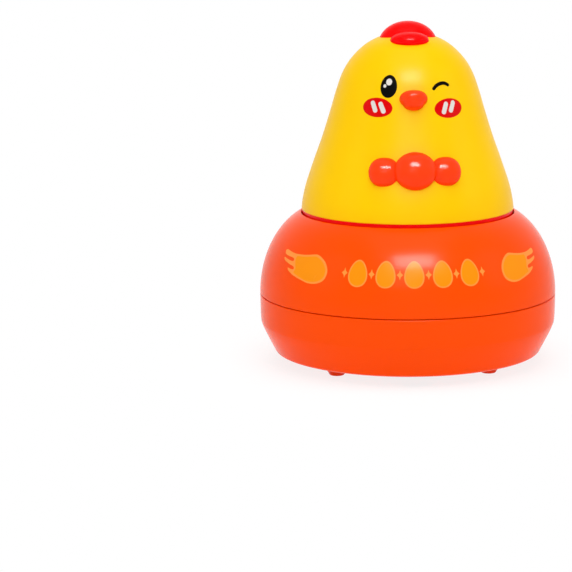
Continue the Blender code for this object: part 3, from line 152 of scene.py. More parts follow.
def on_surface(outline, turn, z, lift=0.0):
    """A point over a turned surface. turn is in degrees from the front, towards +X."""
    radius, facing = surface(outline, z)
    radius += lift * facing.x
    angle = radians(turn)
    return Vector((radius * sin(angle), -radius * cos(angle), z + lift * facing.y))


def surface_frame(outline, turn, z):
    """A matrix on the surface: local X runs round it, local Y up it and local Z out of it."""
    facing = surface(outline, z)[1]
    tilt = Matrix.Rotation(radians(90) - atan2(facing.y, facing.x), 4, "X")
    spin = Matrix.Rotation(radians(turn), 4, "Z")
    return spin @ Matrix.Translation(on_surface(outline, 0.0, z)) @ tilt


print("radius halfway up the body, mm:", round(surface(BELL, RIM_Z + BELL_HEIGHT / 2)[0] / MM, 2))

# %% [markdown]
# ## Shader maths in plain expressions
#
# A finish needs many small sums, such as a roughness that rises a little where a noise is high. Wiring each
# sum by hand is slow to read, so a small class wraps a socket and lets Python's own + - * / add the Math
# nodes. Every other node comes from one method, which takes its type, its settings and what goes into its
# sockets.


# %% A socket that can be added and multiplied
class Signal:
    """One value in a node tree, with arithmetic that adds Math nodes."""

    def __init__(self, graph, socket):
        self.graph = graph
        self.socket = socket

    def maths(self, operation, first, second):
        return self.graph.node("ShaderNodeMath", {"operation": operation}, {0: first, 1: second})

    def __add__(self, other):
        return self.maths("ADD", self, other)

    __radd__ = __add__

    def __sub__(self, other):
        return self.maths("SUBTRACT", self, other)

    def __rsub__(self, other):
        return self.maths("SUBTRACT", other, self)

    def __mul__(self, other):
        return self.maths("MULTIPLY", self, other)

    __rmul__ = __mul__

    def __truediv__(self, other):
        return self.maths("DIVIDE", self, other)

    def __rtruediv__(self, other):
        return self.maths("DIVIDE", other, self)


# %% A tree that gets its nodes from one method
class Graph:
    """A node tree that is being built, for a material or for geometry."""

    def __init__(self, tree):
        self.tree = tree
        self.tree.nodes.clear()

    def node(self, kind, settings=None, sockets=None, output=0):
        """Add a node. Settings come first, then each socket takes a value or a Signal."""
        made = self.tree.nodes.new(kind)
        for key, value in (settings or {}).items():
            setattr(made, key, value)
        for key, value in (sockets or {}).items():
            if isinstance(value, Signal):
                self.tree.links.new(value.socket, made.inputs[key])
            else:
                made.inputs[key].default_value = value
        return Signal(self, made.outputs[output]) if made.outputs else None


# %% What most materials need
def new_material(name):
    """A new material and its empty graph."""
    made = bpy.data.materials.new(name)
    made.use_nodes = True
    return made, Graph(made.node_tree)


def noise(graph, place, scale, detail=2.0):
    """A noise over a place: a higher scale makes it finer."""
    return graph.node("ShaderNodeTexNoise", None, {"Vector": place, "Scale": scale, "Detail": detail})


def between(graph, share, first, second):
    """A colour that goes from the first to the second as the share goes from 0 to 1."""
    sockets = {0: share, 6: (*first, 1.0), 7: (*second, 1.0)}
    return graph.node("ShaderNodeMix", {"data_type": "RGBA"}, sockets, 2)


# %% Colours as they look in a picture
def linear(red, green, blue):
    """A colour as a shader wants it, from the 0 to 255 values of a picture, by the sRGB standard's curve."""
    shares = [c / 255 for c in (red, green, blue)]
    return tuple(c / 12.92 if c <= 0.04045 else ((c + 0.055) / 1.055)**2.4 for c in shares)


def shaded(colour, factor):
    """The same colour, lighter or darker."""
    return tuple(min(c * factor, 1.0) for c in colour)


print("middle grey for a shader:", round(linear(128, 128, 128)[0], 3))

# %% [markdown]
# ## Moulded plastic
#
# Injection-moulded plastic is nearly one colour, but never quite. The pigment drifts a little over
# centimetres, the mould leaves a faint grain under a tenth of a millimetre deep, and handling dulls the
# gloss in soft patches with a few hairline rubs. A photographed texture could show this, but noises in the
# piece's own coordinates need no picture, and they stay put as the toy moves.

# %% The finish that most pieces share
PIGMENT_SCALE, GRAIN_SCALE = 38.0, 2600.0
RUB_TURN, RUB_SCALES = (0.5, 0.9, 0.3), (60.0, 900.0, 420.0)
RUB_START, RUB_FULL = 0.60, 0.72
GLOSS_DRIFT = 0.10
GRAIN_DEPTH = 0.04 * MM
COAT, COAT_ROUGHNESS, PLASTIC_IOR = 0.01, 0.12, 1.49


def moulded(name, colour, gloss, shine=0.06, drift=0.05, grain=0.10, rubs=0.06):
    """A moulded plastic. gloss is its roughness, shine its mirror level, drift its change of colour."""
    made, graph = new_material(name)
    place = graph.node("ShaderNodeTexCoord", output="Object")
    broad = noise(graph, place, PIGMENT_SCALE)
    fine = noise(graph, place, GRAIN_SCALE)
    stretched = graph.node("ShaderNodeMapping", None,
                           {"Vector": place, "Rotation": RUB_TURN, "Scale": RUB_SCALES})
    streak = noise(graph, stretched, 1.0, 3.0)
    rub = graph.node("ShaderNodeMapRange", {"clamp": True},
                     {"Value": streak, "From Min": RUB_START, "From Max": RUB_FULL,
                      "To Min": 0.0, "To Max": 1.0})
    tint = between(graph, broad, shaded(colour, 1 - drift), shaded(colour, 1 + drift))
    roughness = gloss + (broad - 0.5) * GLOSS_DRIFT + rub * rubs
    bump = graph.node("ShaderNodeBump", None, {"Strength": grain, "Distance": GRAIN_DEPTH, "Height": fine})
    shader = graph.node("ShaderNodeBsdfPrincipled", None,
                        {"Base Color": tint, "Roughness": roughness, "Normal": bump,
                         "Specular IOR Level": shine, "Coat Weight": COAT, "Coat Roughness": COAT_ROUGHNESS,
                         "IOR": PLASTIC_IOR})
    graph.node("ShaderNodeOutputMaterial", None, {"Surface": shader})
    return made


# %% The four plastics that show
YELLOW = moulded("body yellow", linear(254, 200, 0), 0.34)
ORANGE = moulded("base orange", linear(255, 77, 0), 0.21, rubs=0.02)
TRIM = moulded("beak and bow orange", linear(255, 62, 8), 0.14, shine=0.12, rubs=0.03)
# The comb's red also colours the bell's skirt as painted shade, with a painted reflection of the orange base.
COMB_RED_AND_RIM_SHADE = moulded("comb red and painted rim shade", linear(248, 2, 3), 0.20)
print("shared finishes:", YELLOW.name, ORANGE.name, TRIM.name, COMB_RED_AND_RIM_SHADE.name)

# %% [markdown]
# ## Turning, cutting and finishing a mesh
#
# A turned piece is a closed outline swung round the axis, as on a potter's wheel. A Screw modifier could
# swing it too, but a few lines of mesh code also close it on the axis and turn it round any centre. The
# base is turned and then cut, so a second helper applies Blender's Boolean and takes the result as a plain
# mesh. The last helper says which pieces of the model a finished piece stands for.

# %% Outlines that are rounded or moved
# Points closer than MERGE become one, and an edge shorter than SLIVER is taken out.
MERGE = 1e-7
SLIVER = 1e-8


def arc(centre, radius, start, end, steps):
    """Points on an arc about a centre, between two angles in degrees."""
    turns = [radians(start + (end - start) * k / steps) for k in range(steps + 1)]
    return [(centre[0] + radius * cos(t), centre[1] + radius * sin(t)) for t in turns]


def moved_out(points, distance):
    """An outline that runs from the top down, moved square to itself by a distance."""
    moved = []
    for k, (r, z) in enumerate(points):
        before = points[max(k - 1, 0)]
        after = points[min(k + 1, len(points) - 1)]
        along = Vector((after[0] - before[0], after[1] - before[1])).normalized()
        moved.append((0.0 if r == 0.0 else max(r - along.y * distance, 0.0), z + along.x * distance))
    return moved


inner_bell = moved_out(BELL, -BELL_WALL)
print("the bell's top inside, mm up:", round(inner_bell[0][1] / MM, 1))


# %% Turn an outline round an axis
def turned(outline, segments, centre=(0.0, 0.0), axis="Z"):
    """A closed solid from a closed outline of (radius, height). It turns about Z, or about X for a wheel."""
    mesh = bmesh.new()
    rings = []
    for k in range(segments):
        angle = 2 * pi * k / segments
        if axis == "Z":
            ring = [(centre[0] + r * sin(angle), centre[1] - r * cos(angle), h) for r, h in outline]
        else:
            ring = [(h, centre[0] + r * cos(angle), centre[1] + r * sin(angle)) for r, h in outline]
        rings.append([mesh.verts.new(point) for point in ring])
    for k in range(segments):
        here = rings[k]
        after = rings[(k + 1) % segments]
        for j in range(len(outline)):
            if outline[j - 1][0] or outline[j][0]:
                mesh.faces.new((here[j - 1], here[j], after[j], after[j - 1]))
    bmesh.ops.remove_doubles(mesh, verts=mesh.verts[:], dist=MERGE)
    bmesh.ops.dissolve_degenerate(mesh, edges=mesh.edges[:], dist=SLIVER)
    bmesh.ops.recalc_face_normals(mesh, faces=mesh.faces[:])
    return mesh


square_ring = turned(((1.0, 0.0), (2.0, 0.0), (2.0, 1.0), (1.0, 1.0)), 8)
print("faces of a square ring in 8 steps:", len(square_ring.faces))
square_ring.free()


# %% A box between two corners, for cutting
def block(mesh, low, high):
    """Add a box between two corners."""
    middle = [(a + b) / 2 for a, b in zip(low, high)]
    size = [b - a for a, b in zip(low, high)]
    place = Matrix.Translation(middle) @ Matrix.Diagonal((*size, 1.0))
    bmesh.ops.create_cube(mesh, size=1.0, matrix=place)


# %% Put a mesh in the scene
CORNER, SOFT_CORNER, FILM_CORNER = 32, 40, 60
print("edges are drawn sharp from, degrees:", CORNER, SOFT_CORNER, FILM_CORNER)


def shaded_smooth(data, corner):
    """Smooth shading, with sharp edges where the faces turn by more than a corner's angle."""
    data.shade_smooth()
    data.set_sharp_from_angle(angle=radians(corner))


def placed(name, mesh, finish=None, corner=CORNER):
    """Put a mesh in the scene at the origin, with its place in its points."""
    data = bpy.data.meshes.new(name)
    mesh.to_mesh(data)
    mesh.free()
    piece = bpy.data.objects.new(name, data)
    bpy.context.collection.objects.link(piece)
    if finish:
        data.materials.append(finish)
    shaded_smooth(data, corner)
    return piece


# %% Settle modifiers into plain mesh, and cut or join with another object
def settle(piece, corner=CORNER):
    """Turn a piece's live modifiers into plain mesh."""
    bpy.context.view_layer.update()
    evaluated = piece.evaluated_get(bpy.context.evaluated_depsgraph_get())
    data = bpy.data.meshes.new_from_object(evaluated)
    piece.modifiers.clear()
    piece.data = data
    shaded_smooth(data, corner)


def changed(piece, tool, operation):
    """Apply a Boolean with another object, which is removed afterwards."""
    step = piece.modifiers.new(operation.lower(), "BOOLEAN")
    step.operation = operation
    step.object = tool
    settle(piece)
    bpy.data.objects.remove(tool, do_unlink=True)


# %% Say what a finished piece belongs to
def belongs(piece, body, slot, *nodes):
    """Say what a finished piece moves with and which nodes it stands for. slot, whose finish it has, is not
    used.
    """
    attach(piece, body)
    if nodes:
        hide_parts(*nodes)
    print(piece.name, "faces:", len(piece.data.polygons))


# %% [markdown]
# ## The body
#
# The body is a hollow bell in two halves, front and rear, that meet in a fine line at each side. The line
# could be painted, but a real parting also catches the light, so it is shaped: the full bell is turned
# once, cut at the middle, and each half's outer edge is drawn in by a tenth of a millimetre. The bell ends
# in a crisp rounded edge just over the base, and a skirt that is a little narrower goes on down into the
# opening. The skirt is coloured red as painted shade, with a painted reflection of the orange base, which
# gives the red line that shows under the edge all round.

# %% The bell's outline
# A smooth outline stops ROUND_CLEAR roundings before a rounded edge, so that the two join cleanly.
ROUND_STEPS, ROUND_CLEAR = 192, 1.2
EDGE_Z = RIM_Z + 0.25 * MM
EDGE_ROUND = 0.30 * MM
EDGE_INSET = 0.03 * MM
SKIRT_RADIUS = BELL_RADIUS - 0.30 * MM
SKIRT_CHAMFER = 0.3 * MM


def bell_outline():
    """Down the outside to the edge, in to the skirt and down it, and up the inside."""
    outer = [p for p in BELL if p[1] > EDGE_Z + EDGE_ROUND * ROUND_CLEAR]
    outer += arc((BELL_RADIUS - EDGE_ROUND - EDGE_INSET, EDGE_Z + EDGE_ROUND), EDGE_ROUND, 0, -90, 5)
    outer += [(SKIRT_RADIUS, EDGE_Z), (SKIRT_RADIUS, SKIRT_Z + SKIRT_CHAMFER),
              (SKIRT_RADIUS - SKIRT_CHAMFER, SKIRT_Z)]
    return outer + list(reversed(inner_bell + [(BELL_RADIUS - BELL_WALL, SKIRT_Z)]))


print("points round the bell's wall:", len(bell_outline()))

# %% Cut the bell at the middle and draw the cut's outer edge in
PARTING_GAP = 0.16 * MM
GROOVE_REACH = 0.28 * MM
GROOVE_DEPTH = 0.10 * MM
OUTSIDE_BAND = 0.3 * MM


def cut_at_middle(mesh, side):
    """Keep one side and close it. The first cut only adds the row of points where the groove begins."""
    for reach in (GROOVE_REACH, PARTING_GAP / 2):
        plane = {"plane_co": (0.0, side * reach, 0.0), "plane_no": (0.0, -side, 0.0)}
        cut = bmesh.ops.bisect_plane(mesh, geom=mesh.verts[:] + mesh.edges[:] + mesh.faces[:], dist=SLIVER,
                                     clear_outer=reach < GROOVE_REACH, **plane)
    edges = [e for e in cut["geom_cut"] if isinstance(e, bmesh.types.BMEdge)]
    bmesh.ops.triangle_fill(mesh, edges=edges, use_beauty=True)


def draw_in_groove(mesh, side):
    """Move the points on the cut that lie on the outside of the bell a little into the wall."""
    for vert in mesh.verts:
        if abs(vert.co.y - side * PARTING_GAP / 2) < MERGE and RIM_Z < vert.co.z:
            radius, facing = surface(BELL, min(vert.co.z, CROWN_Z - HAIR))
            if abs(hypot(vert.co.x, vert.co.y) - radius) < OUTSIDE_BAND:
                across = 1 if vert.co.x > 0 else -1
                vert.co.x -= across * GROOVE_DEPTH * facing.x
                vert.co.z -= GROOVE_DEPTH * facing.y


print("parting line, mm wide and deep:", round(2 * GROOVE_REACH / MM, 2), round(GROOVE_DEPTH / MM, 2))


# %% The two halves of the bell
def half_bell(name, side):
    """One half of the bell: side is -1 for the front and 1 for the rear."""
    mesh = turned(bell_outline(), ROUND_STEPS)
    cut_at_middle(mesh, side)
    draw_in_groove(mesh, side)
    bmesh.ops.recalc_face_normals(mesh, faces=mesh.faces[:])
    half = placed(name, mesh, YELLOW)
    # The skirt's faces take the comb's red as painted shade, with a painted reflection of the orange base.
    half.data.materials.append(COMB_RED_AND_RIM_SHADE)
    for face in half.data.polygons:
        if face.center.z < EDGE_Z - 0.01 * MM:
            face.material_index = 1
    return half


belongs(half_bell("bell_front", -1), "press_body", "body_plastic", "body_front_shell")
belongs(half_bell("bell_rear", 1), "press_body", "body_plastic", "body_rear_shell")

# %% [markdown]
# ## The base
#
# The upper shell is a quarter of an ellipse with a rolled lip round the opening. The lower shell is a
# shallow dish. Where the two meet, each edge is rounded by a fraction of a millimetre, which draws the fine
# seam all round. Under the dish are two slots for the wheels, one for the rack, two deep screw holes and
# two moulded skids. Pressing such holes into a mesh by hand is slow work, so they are cut with Booleans.

# %% The upper shell
LIP_RADIUS = BELL_RADIUS + 0.08 * MM
LIP_ROUND = 0.25 * MM
LIP_RISE = 0.10 * MM
LIP_REACH = 2.6
COLLAR_RADIUS = OPENING_RADIUS + WALL
SEAM_ROUND = 0.32 * MM


def upper_shell():
    """The ellipse between the lip and the seam. It starts a few lip roundings out from the lip's edge."""
    seam = SEAM_Z + SEAM_GAP / 2
    flank = [p for p in UPPER if p[0] > LIP_RADIUS + LIP_ROUND * LIP_REACH and p[1] > seam + SEAM_ROUND]
    lip = arc((LIP_RADIUS + LIP_ROUND, OPENING_Z + LIP_RISE - LIP_ROUND), LIP_ROUND, 180, 60, 8)
    foot = arc((BASE_RADIUS - SEAM_ROUND, seam + SEAM_ROUND), SEAM_ROUND, 0, -90, 5)
    inner = [p for p in moved_out(UPPER, -WALL) if p[0] > COLLAR_RADIUS and p[1] > seam + 1 * MM]
    outline = [(LIP_RADIUS, SKIRT_Z)] + lip + flank + foot
    outline += [(BASE_RADIUS - WALL, seam)] + list(reversed(inner)) + [(COLLAR_RADIUS, SKIRT_Z)]
    return placed("base_top", turned(outline, ROUND_STEPS), ORANGE, SOFT_CORNER)


belongs(upper_shell(), "base", "base_plastic", "base_upper_shell")

# %% The dish of the lower shell
TONGUE_OUTSIDE = BASE_RADIUS - WALL - 0.3 * MM
TONGUE_INSIDE = BASE_RADIUS - WALL - 1.7 * MM
TONGUE_REACH = 2 * MM


def dish_outline():
    """Out under the dish, up its side, over the tongue inside the seam, and in over the floor."""
    seam = SEAM_Z - SEAM_GAP / 2
    edge = arc((BASE_RADIUS - SEAM_ROUND, seam - SEAM_ROUND), SEAM_ROUND, 90, 0, 5)
    side = [p for p in LOWER if p[1] < seam - SEAM_ROUND * ROUND_CLEAR]
    inner = [p for p in moved_out(lower_points, -WALL) if FLOOR_Z < p[1] < seam - 3 * MM]
    outline = [(0.0, GROUND_CLEARANCE)] + list(reversed(side)) + list(reversed(edge))
    outline += [(TONGUE_OUTSIDE, seam), (TONGUE_OUTSIDE, SEAM_Z + TONGUE_REACH)]
    outline += [(TONGUE_INSIDE, SEAM_Z + TONGUE_REACH), (TONGUE_INSIDE, SEAM_Z - TONGUE_REACH)]
    return outline + inner + [(inner[-1][0] - 1.5 * MM, FLOOR_Z), (0.0, FLOOR_Z)]


lower_shell = placed("base_bottom", turned(dish_outline(), ROUND_STEPS), ORANGE)
print("dish, faces:", len(lower_shell.data.polygons))

# %% Skids in front and screw tubes at the front and the back
SKID_SIDE, SKID_FRONT = 21.7 * MM, 19.0 * MM
SKID_ROOT, SKID_TIP = 4.5 * MM, 1.6 * MM
SCREW_HOLE_Y, SCREW_HOLE_RADIUS, SCREW_HOLE_DEPTH = 33.0 * MM, 3.75 * MM, 11.0 * MM
TUBE_RADIUS = SCREW_HOLE_RADIUS + 1.2 * MM
ROOT_Z = FLOOR_Z - 0.8 * MM


def skid_outline():
    """A skid from its flat tip up to its flared root, with its inside sunk in the floor."""
    flare = [(SKID_TIP, 0.0), (SKID_TIP + 0.5 * MM, 0.2 * MM), (2.6 * MM, 1.0 * MM), (3.5 * MM, 2.05 * MM),
             (SKID_ROOT, GROUND_CLEARANCE - 0.05 * MM)]
    return [(0.0, GROUND_CLEARANCE + 1 * MM), (0.0, 0.0)] + smooth(flare, 5) + [(SKID_ROOT, ROOT_Z)]


for side in (-1, 1):
    skid = turned(skid_outline(), 48, (side * SKID_SIDE, -SKID_FRONT))
    changed(lower_shell, placed("skid", skid), "UNION")
    tube = [(0.0, ROOT_Z), (TUBE_RADIUS, ROOT_Z), (TUBE_RADIUS, SEAM_Z - 0.3 * MM), (0.0, SEAM_Z - 0.3 * MM)]
    changed(lower_shell, placed("tube", turned(tube, 48, (0.0, side * SCREW_HOLE_Y))), "UNION")
print("dish with skids and tubes, faces:", len(lower_shell.data.polygons))

# %% Slots for the wheels and the rack
SLOT_EDGE, WHEEL_SLOT_HALF = 0.9 * MM, 10.5 * MM
RACK_SLOT_SIDE, RACK_SLOT_HALF = 6.25 * MM, 2.35 * MM
BELOW_Z, ABOVE_Z = GROUND_CLEARANCE - 1 * MM, FLOOR_Z + 0.6 * MM

tyre_low, tyre_high = (Vector(corner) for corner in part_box("tyre_right"))
rack_middle = Vector(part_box("press_rack")[0]).y + RACK_SLOT_HALF
tyre_middle = (tyre_low.y + tyre_high.y) / 2
cuts = bmesh.new()
for side in (-1, 1):
    ends = sorted((side * (tyre_low.x - SLOT_EDGE), side * (tyre_high.x + SLOT_EDGE)))
    block(cuts, (ends[0], tyre_middle - WHEEL_SLOT_HALF, BELOW_Z),
          (ends[1], tyre_middle + WHEEL_SLOT_HALF, ABOVE_Z))
block(cuts, (-RACK_SLOT_SIDE, rack_middle - RACK_SLOT_HALF, BELOW_Z),
      (RACK_SLOT_SIDE, rack_middle + RACK_SLOT_HALF, ABOVE_Z))
changed(lower_shell, placed("slots", cuts), "DIFFERENCE")
print("slots behind the axis, mm:", round(tyre_middle / MM, 1), round(rack_middle / MM, 1))

# %% Screw holes
COUNTERSINK, SHANK_RADIUS = 0.35 * MM, 1.5 * MM
HEAD_Z = GROUND_CLEARANCE + SCREW_HOLE_DEPTH


def screw_hole():
    """A wide hole with a bevelled mouth for the screw's head, then a narrow one for its shank."""
    mouth = SCREW_HOLE_RADIUS + COUNTERSINK
    return [(0.0, BELOW_Z), (mouth, BELOW_Z), (mouth, GROUND_CLEARANCE),
            (SCREW_HOLE_RADIUS, GROUND_CLEARANCE + COUNTERSINK), (SCREW_HOLE_RADIUS, HEAD_Z),
            (SHANK_RADIUS, HEAD_Z), (SHANK_RADIUS, SEAM_Z), (0.0, SEAM_Z)]


for side in (-1, 1):
    hole = placed("hole", turned(screw_hole(), 64, (0.0, side * SCREW_HOLE_Y)))
    changed(lower_shell, hole, "DIFFERENCE")
belongs(lower_shell, "base", "base_plastic", "base_lower_shell")

# %% [markdown]
# ## Comb, beak and bow tie
#
# These are swollen forms that run into each other. They could be sculpted, but balls stretched to different
# widths give the same plump shapes from a few numbers. Each one is a rounded ellipsoid with a matrix of its
# own, and a Boolean joins them, which keeps the crisp crease where two lobes of the comb or the bow meet.
# The beak's two bills are smoothed together afterwards. What would lie inside the body is cut away just
# under its surface.

# %% A stretched ball
BALL_SEGMENTS = 72


def ellipsoid(name, half, place, finish, fullness=1.0):
    """An ellipsoid from its half sizes and a matrix. A fullness under 1 makes its ends along X blunter."""
    mesh = bmesh.new()
    bmesh.ops.create_uvsphere(mesh, u_segments=BALL_SEGMENTS, v_segments=BALL_SEGMENTS // 2, radius=1.0)
    for vert in mesh.verts:
        across, up, out = vert.co
        blunt = abs(across)**fullness * (1 if across > 0 else -1)
        vert.co = place @ Vector((blunt * half[0], up * half[1], out * half[2]))
    return placed(name, mesh, finish)


print("half across, and its blunt value:", 0.5, round(0.5**0.85, 3))

# %% Swollen forms joined on the body
SUNK = 0.25 * MM
VOXEL = 0.16 * MM


def core_outline():
    """The body's inside just under its surface, closed on the axis."""
    core = moved_out(BELL, -SUNK)
    return [(0.0, core[0][1])] + core[1:] + [(core[-1][0], SKIRT_Z), (0.0, SKIRT_Z)]


def melted(piece, rounds):
    """Remake a piece with even faces and smooth it, which rounds the crease between its forms."""
    even = piece.modifiers.new("even faces", "REMESH")
    even.mode = "VOXEL"
    even.voxel_size = VOXEL
    soft = piece.modifiers.new("melted crease", "SMOOTH")
    soft.iterations = rounds
    settle(piece)


def swollen(name, forms, finish, melt=0):
    """Join ellipsoids and trim them to the body.

    A form is its half sizes, its matrix and perhaps its fullness. melt is how many times the joined mesh is
    smoothed, and without it the creases stay crisp.
    """
    piece = None
    for half, place, *fullness in forms:
        form = ellipsoid("form" if piece else name, half, place, finish, *fullness)
        if piece:
            changed(piece, form, "UNION")
        else:
            piece = form
    if melt:
        melted(piece, melt)
    changed(piece, placed("core", turned(core_outline(), 128)), "DIFFERENCE")
    return piece


print("forms are cut under the body's surface by, mm:", round(SUNK / MM, 2))

# %% The beak
BEAK_Z = RIM_Z + 34.25 * MM
UPPER_BILL, UPPER_FULLNESS, UPPER_TILT = (4.0 * MM, 2.35 * MM, 3.7 * MM), 0.85, -8
LOWER_BILL, LOWER_DROP = (3.05 * MM, 2.1 * MM, 3.2 * MM), 1.2 * MM
BEAK_MELT = 14

upper_bill = surface_frame(BELL, 0.0, BEAK_Z) @ Matrix.Rotation(radians(UPPER_TILT), 4, "X")
lower_bill = surface_frame(BELL, 0.0, BEAK_Z - LOWER_DROP)
bill_forms = [(UPPER_BILL, upper_bill, UPPER_FULLNESS), (LOWER_BILL, lower_bill)]
belongs(swollen("bill", bill_forms, TRIM, BEAK_MELT), "press_body", "trim_plastic", "beak")

# %% The bow tie
# The lobes are turned to face nearly straight ahead, so that each shows a deep round side.
BOW_Z = RIM_Z + 14.75 * MM
LOBE_Z = BOW_Z - 0.33 * MM
KNOT, LOBE, LOBE_FULLNESS = (6.0 * MM, 5.45 * MM, 3.6 * MM), (4.45 * MM, 4.15 * MM, 2.8 * MM), 0.82
LOBE_ARC, LOBE_SINK, LOBE_FACING = 8.8 * MM, -0.3 * MM, 0.35

lobe_turn = LOBE_ARC / surface(BELL, LOBE_Z)[0] * 180 / pi
bow_forms = [(KNOT, surface_frame(BELL, 0.0, BOW_Z))]
for side in (-1, 1):
    lobe = surface_frame(BELL, side * lobe_turn * LOBE_FACING, LOBE_Z)
    lobe.translation = on_surface(BELL, side * lobe_turn, LOBE_Z, LOBE_SINK)
    bow_forms.append((LOBE, lobe, LOBE_FULLNESS))
belongs(swollen("bow", bow_forms, TRIM), "press_body", "trim_plastic", "bow_tie")

# %% The comb in two halves, cut where the body's halves meet
# Each lobe is its half sizes, then its place behind the axis and over the crown, in millimetres.
COMB_LOBES = (((8.5, 6.6, 6.85), -0.6, -3.5), ((5.5, 4.3, 2.45), -7.2, -1.6), ((5.2, 3.8, 3.8), 5.4, -1.8))
PAST_COMB = 20 * MM

comb_forms = [([size * MM for size in half], Matrix.Translation((0.0, y * MM, CROWN_Z + z * MM)))
              for half, y, z in COMB_LOBES]
for side, name, node in ((-1, "comb_fore", "comb_front"), (1, "comb_aft", "comb_rear")):
    half = swollen(name, comb_forms, COMB_RED_AND_RIM_SHADE)
    away = bmesh.new()
    ends = sorted((side * PARTING_GAP / 2, -side * PAST_COMB))
    block(away, (-PAST_COMB, ends[0], SKIRT_Z), (PAST_COMB, ends[1], CROWN_Z + PAST_COMB))
    changed(half, placed("away", away), "DIFFERENCE")
    belongs(half, "press_body", "comb_plastic", node)

# %% [markdown]
# ## Prints
#
# The face and the ornament are pad-printed: thin films of ink that follow the curved plastic. Painting them
# in the shader would leave soft edges once the toy is exported, so each print is a real film, three
# hundredths of a millimetre thick. Its outline is drawn flat, filled, cut fine and then wrapped onto the
# turned surface.

# %% Wrap a flat outline onto a turned surface
FILM = 0.03 * MM
FILM_STEP, FINE_STEP = 0.55 * MM, 0.3 * MM
MOST_SPLITS = 6


def cut_fine(mesh, step):
    """Split the edges that are longer than a step, so that the film can bend."""
    for _ in range(MOST_SPLITS):
        long_edges = [e for e in mesh.edges if e.calc_length() > step]
        if not long_edges:
            break
        bmesh.ops.subdivide_edges(mesh, edges=long_edges, cuts=1)
        bmesh.ops.triangulate(mesh, faces=mesh.faces[:])


def film(name, shapes, wrap, finish, layer=1, step=FILM_STEP):
    """A printed film from flat outlines. wrap(x, y, lift) gives a point over the surface that it follows."""
    mesh = bmesh.new()
    for shape in shapes:
        ring = [mesh.verts.new((x, y, 0.0)) for x, y in shape]
        edges = [mesh.edges.new((ring[k - 1], ring[k])) for k in range(len(ring))]
        bmesh.ops.triangle_fill(mesh, edges=edges, use_beauty=True)
    cut_fine(mesh, step)
    raised = bmesh.ops.extrude_face_region(mesh, geom=mesh.faces[:], use_keep_orig=True)["geom"]
    tops = {v for v in raised if isinstance(v, bmesh.types.BMVert)}
    for vert in mesh.verts:
        lift = FILM * layer if vert in tops else -FILM
        vert.co = wrap(vert.co.x, vert.co.y, lift)
    bmesh.ops.recalc_face_normals(mesh, faces=mesh.faces[:])
    return placed(name, mesh, finish, FILM_CORNER)


print("film, mm thick:", round(FILM / MM, 2))


# %% Flat ovals and pen strokes
def oval(x, y, half_width, half_height, tilt=0.0, steps=56):
    """An ellipse about a centre, tilted by an angle in degrees."""
    points = []
    for k in range(steps):
        t = 2 * pi * k / steps
        u, v = half_width * cos(t), half_height * sin(t)
        points.append((x + u * cos(radians(tilt)) - v * sin(radians(tilt)),
                       y + u * sin(radians(tilt)) + v * cos(radians(tilt))))
    return points


def pen_end(tip, before, width):
    """The round end of a pen stroke."""
    out = (tip - before).normalized()
    heading = atan2(out.y, out.x)
    turns = [heading + radians(angle) for angle in (60, 30, 0, -30, -60)]
    return [(tip.x + width / 2 * cos(turn), tip.y + width / 2 * sin(turn)) for turn in turns]


def stroke(path, width):
    """The outline of a pen stroke with round ends along a path."""
    line = [Vector(p) for p in (smooth(path, 8) if len(path) > 2 else path)]
    left, right = [], []
    for k, point in enumerate(line):
        along = (line[min(k + 1, len(line) - 1)] - line[max(k - 1, 0)]).normalized()
        side = Vector((-along.y, along.x)) * width / 2
        left.append(tuple(point + side))
        right.append(tuple(point - side))
    far, near = pen_end(line[-1], line[-2], width), pen_end(line[0], line[1], width)
    return left + far + list(reversed(right)) + near


print("points round a straight stroke:", len(stroke(((0.0, 0.0), (MM, 0.0)), MM)))


# %% Inks
def ink(name, colour, gloss=0.24, shine=0.06):
    """Printing ink: an even colour, with less grain and fewer rubs than the plastic under it."""
    return moulded(name, colour, gloss, shine, drift=0.02, grain=0.05, rubs=0.04)


BLACK_INK = ink("black ink", linear(9, 7, 8), 0.30, 0.02)
WHITE_INK = ink("white ink", linear(222, 216, 210))
CHEEK_INK = ink("cheek ink", linear(216, 2, 5))
AMBER_INK = ink("amber ink", linear(250, 146, 12))
PEACH_INK = ink("peach ink", linear(255, 150, 62))
print("inks:", ", ".join(made.name for made in (BLACK_INK, WHITE_INK, CHEEK_INK, AMBER_INK, PEACH_INK)))

# %% [markdown]
# ## The face
#
# One eye is open, with two lights in it, and the other winks. Each cheek is a red oval with two slanted
# bars. All places are measured on the body: how far round from the front, in degrees, and how high above
# the seam, in millimetres. That way a change of the body's shape would carry the whole face with it.

# %% Places on the face
# Heights are measured from a level 60 mm over the seam, and the whole face is printed 0.7 mm higher.
FACE_LEVEL = 60.0
FACE_Z = SEAM_Z + 60.7 * MM


def on_face(x, y, lift):
    """Flat face coordinates to the body: x is the arc at the face's height, y the height above it."""
    turn = x / surface(BELL, FACE_Z)[0] * 180 / pi
    return on_surface(BELL, turn, FACE_Z + y, lift)


def face_spot(turn, z_over_seam):
    """A measured place, in degrees from the front and millimetres over the seam, as flat face coordinates."""
    return (radians(turn) * surface(BELL, FACE_Z)[0], (z_over_seam - FACE_LEVEL) * MM)


print("the face is printed at a radius of, mm:", round(surface(BELL, FACE_Z)[0] / MM, 2))

# %% The open eye and the wink
EYE, EYE_HALF = face_spot(-20.3, 61.2), (2.45 * MM, 3.1 * MM)
BIG_LIGHT, BIG_LIGHT_HALF = face_spot(-20.3, 62.4), (0.90 * MM, 0.90 * MM)
SMALL_LIGHT, SMALL_LIGHT_HALF = face_spot(-23.6, 61.3), (0.46 * MM, 0.48 * MM)
WINK = ((17.2, 60.5), (20.0, 61.3), (24.0, 61.8), (27.8, 61.8), (30.8, 61.3))
WINK_WIDTH = 0.95 * MM

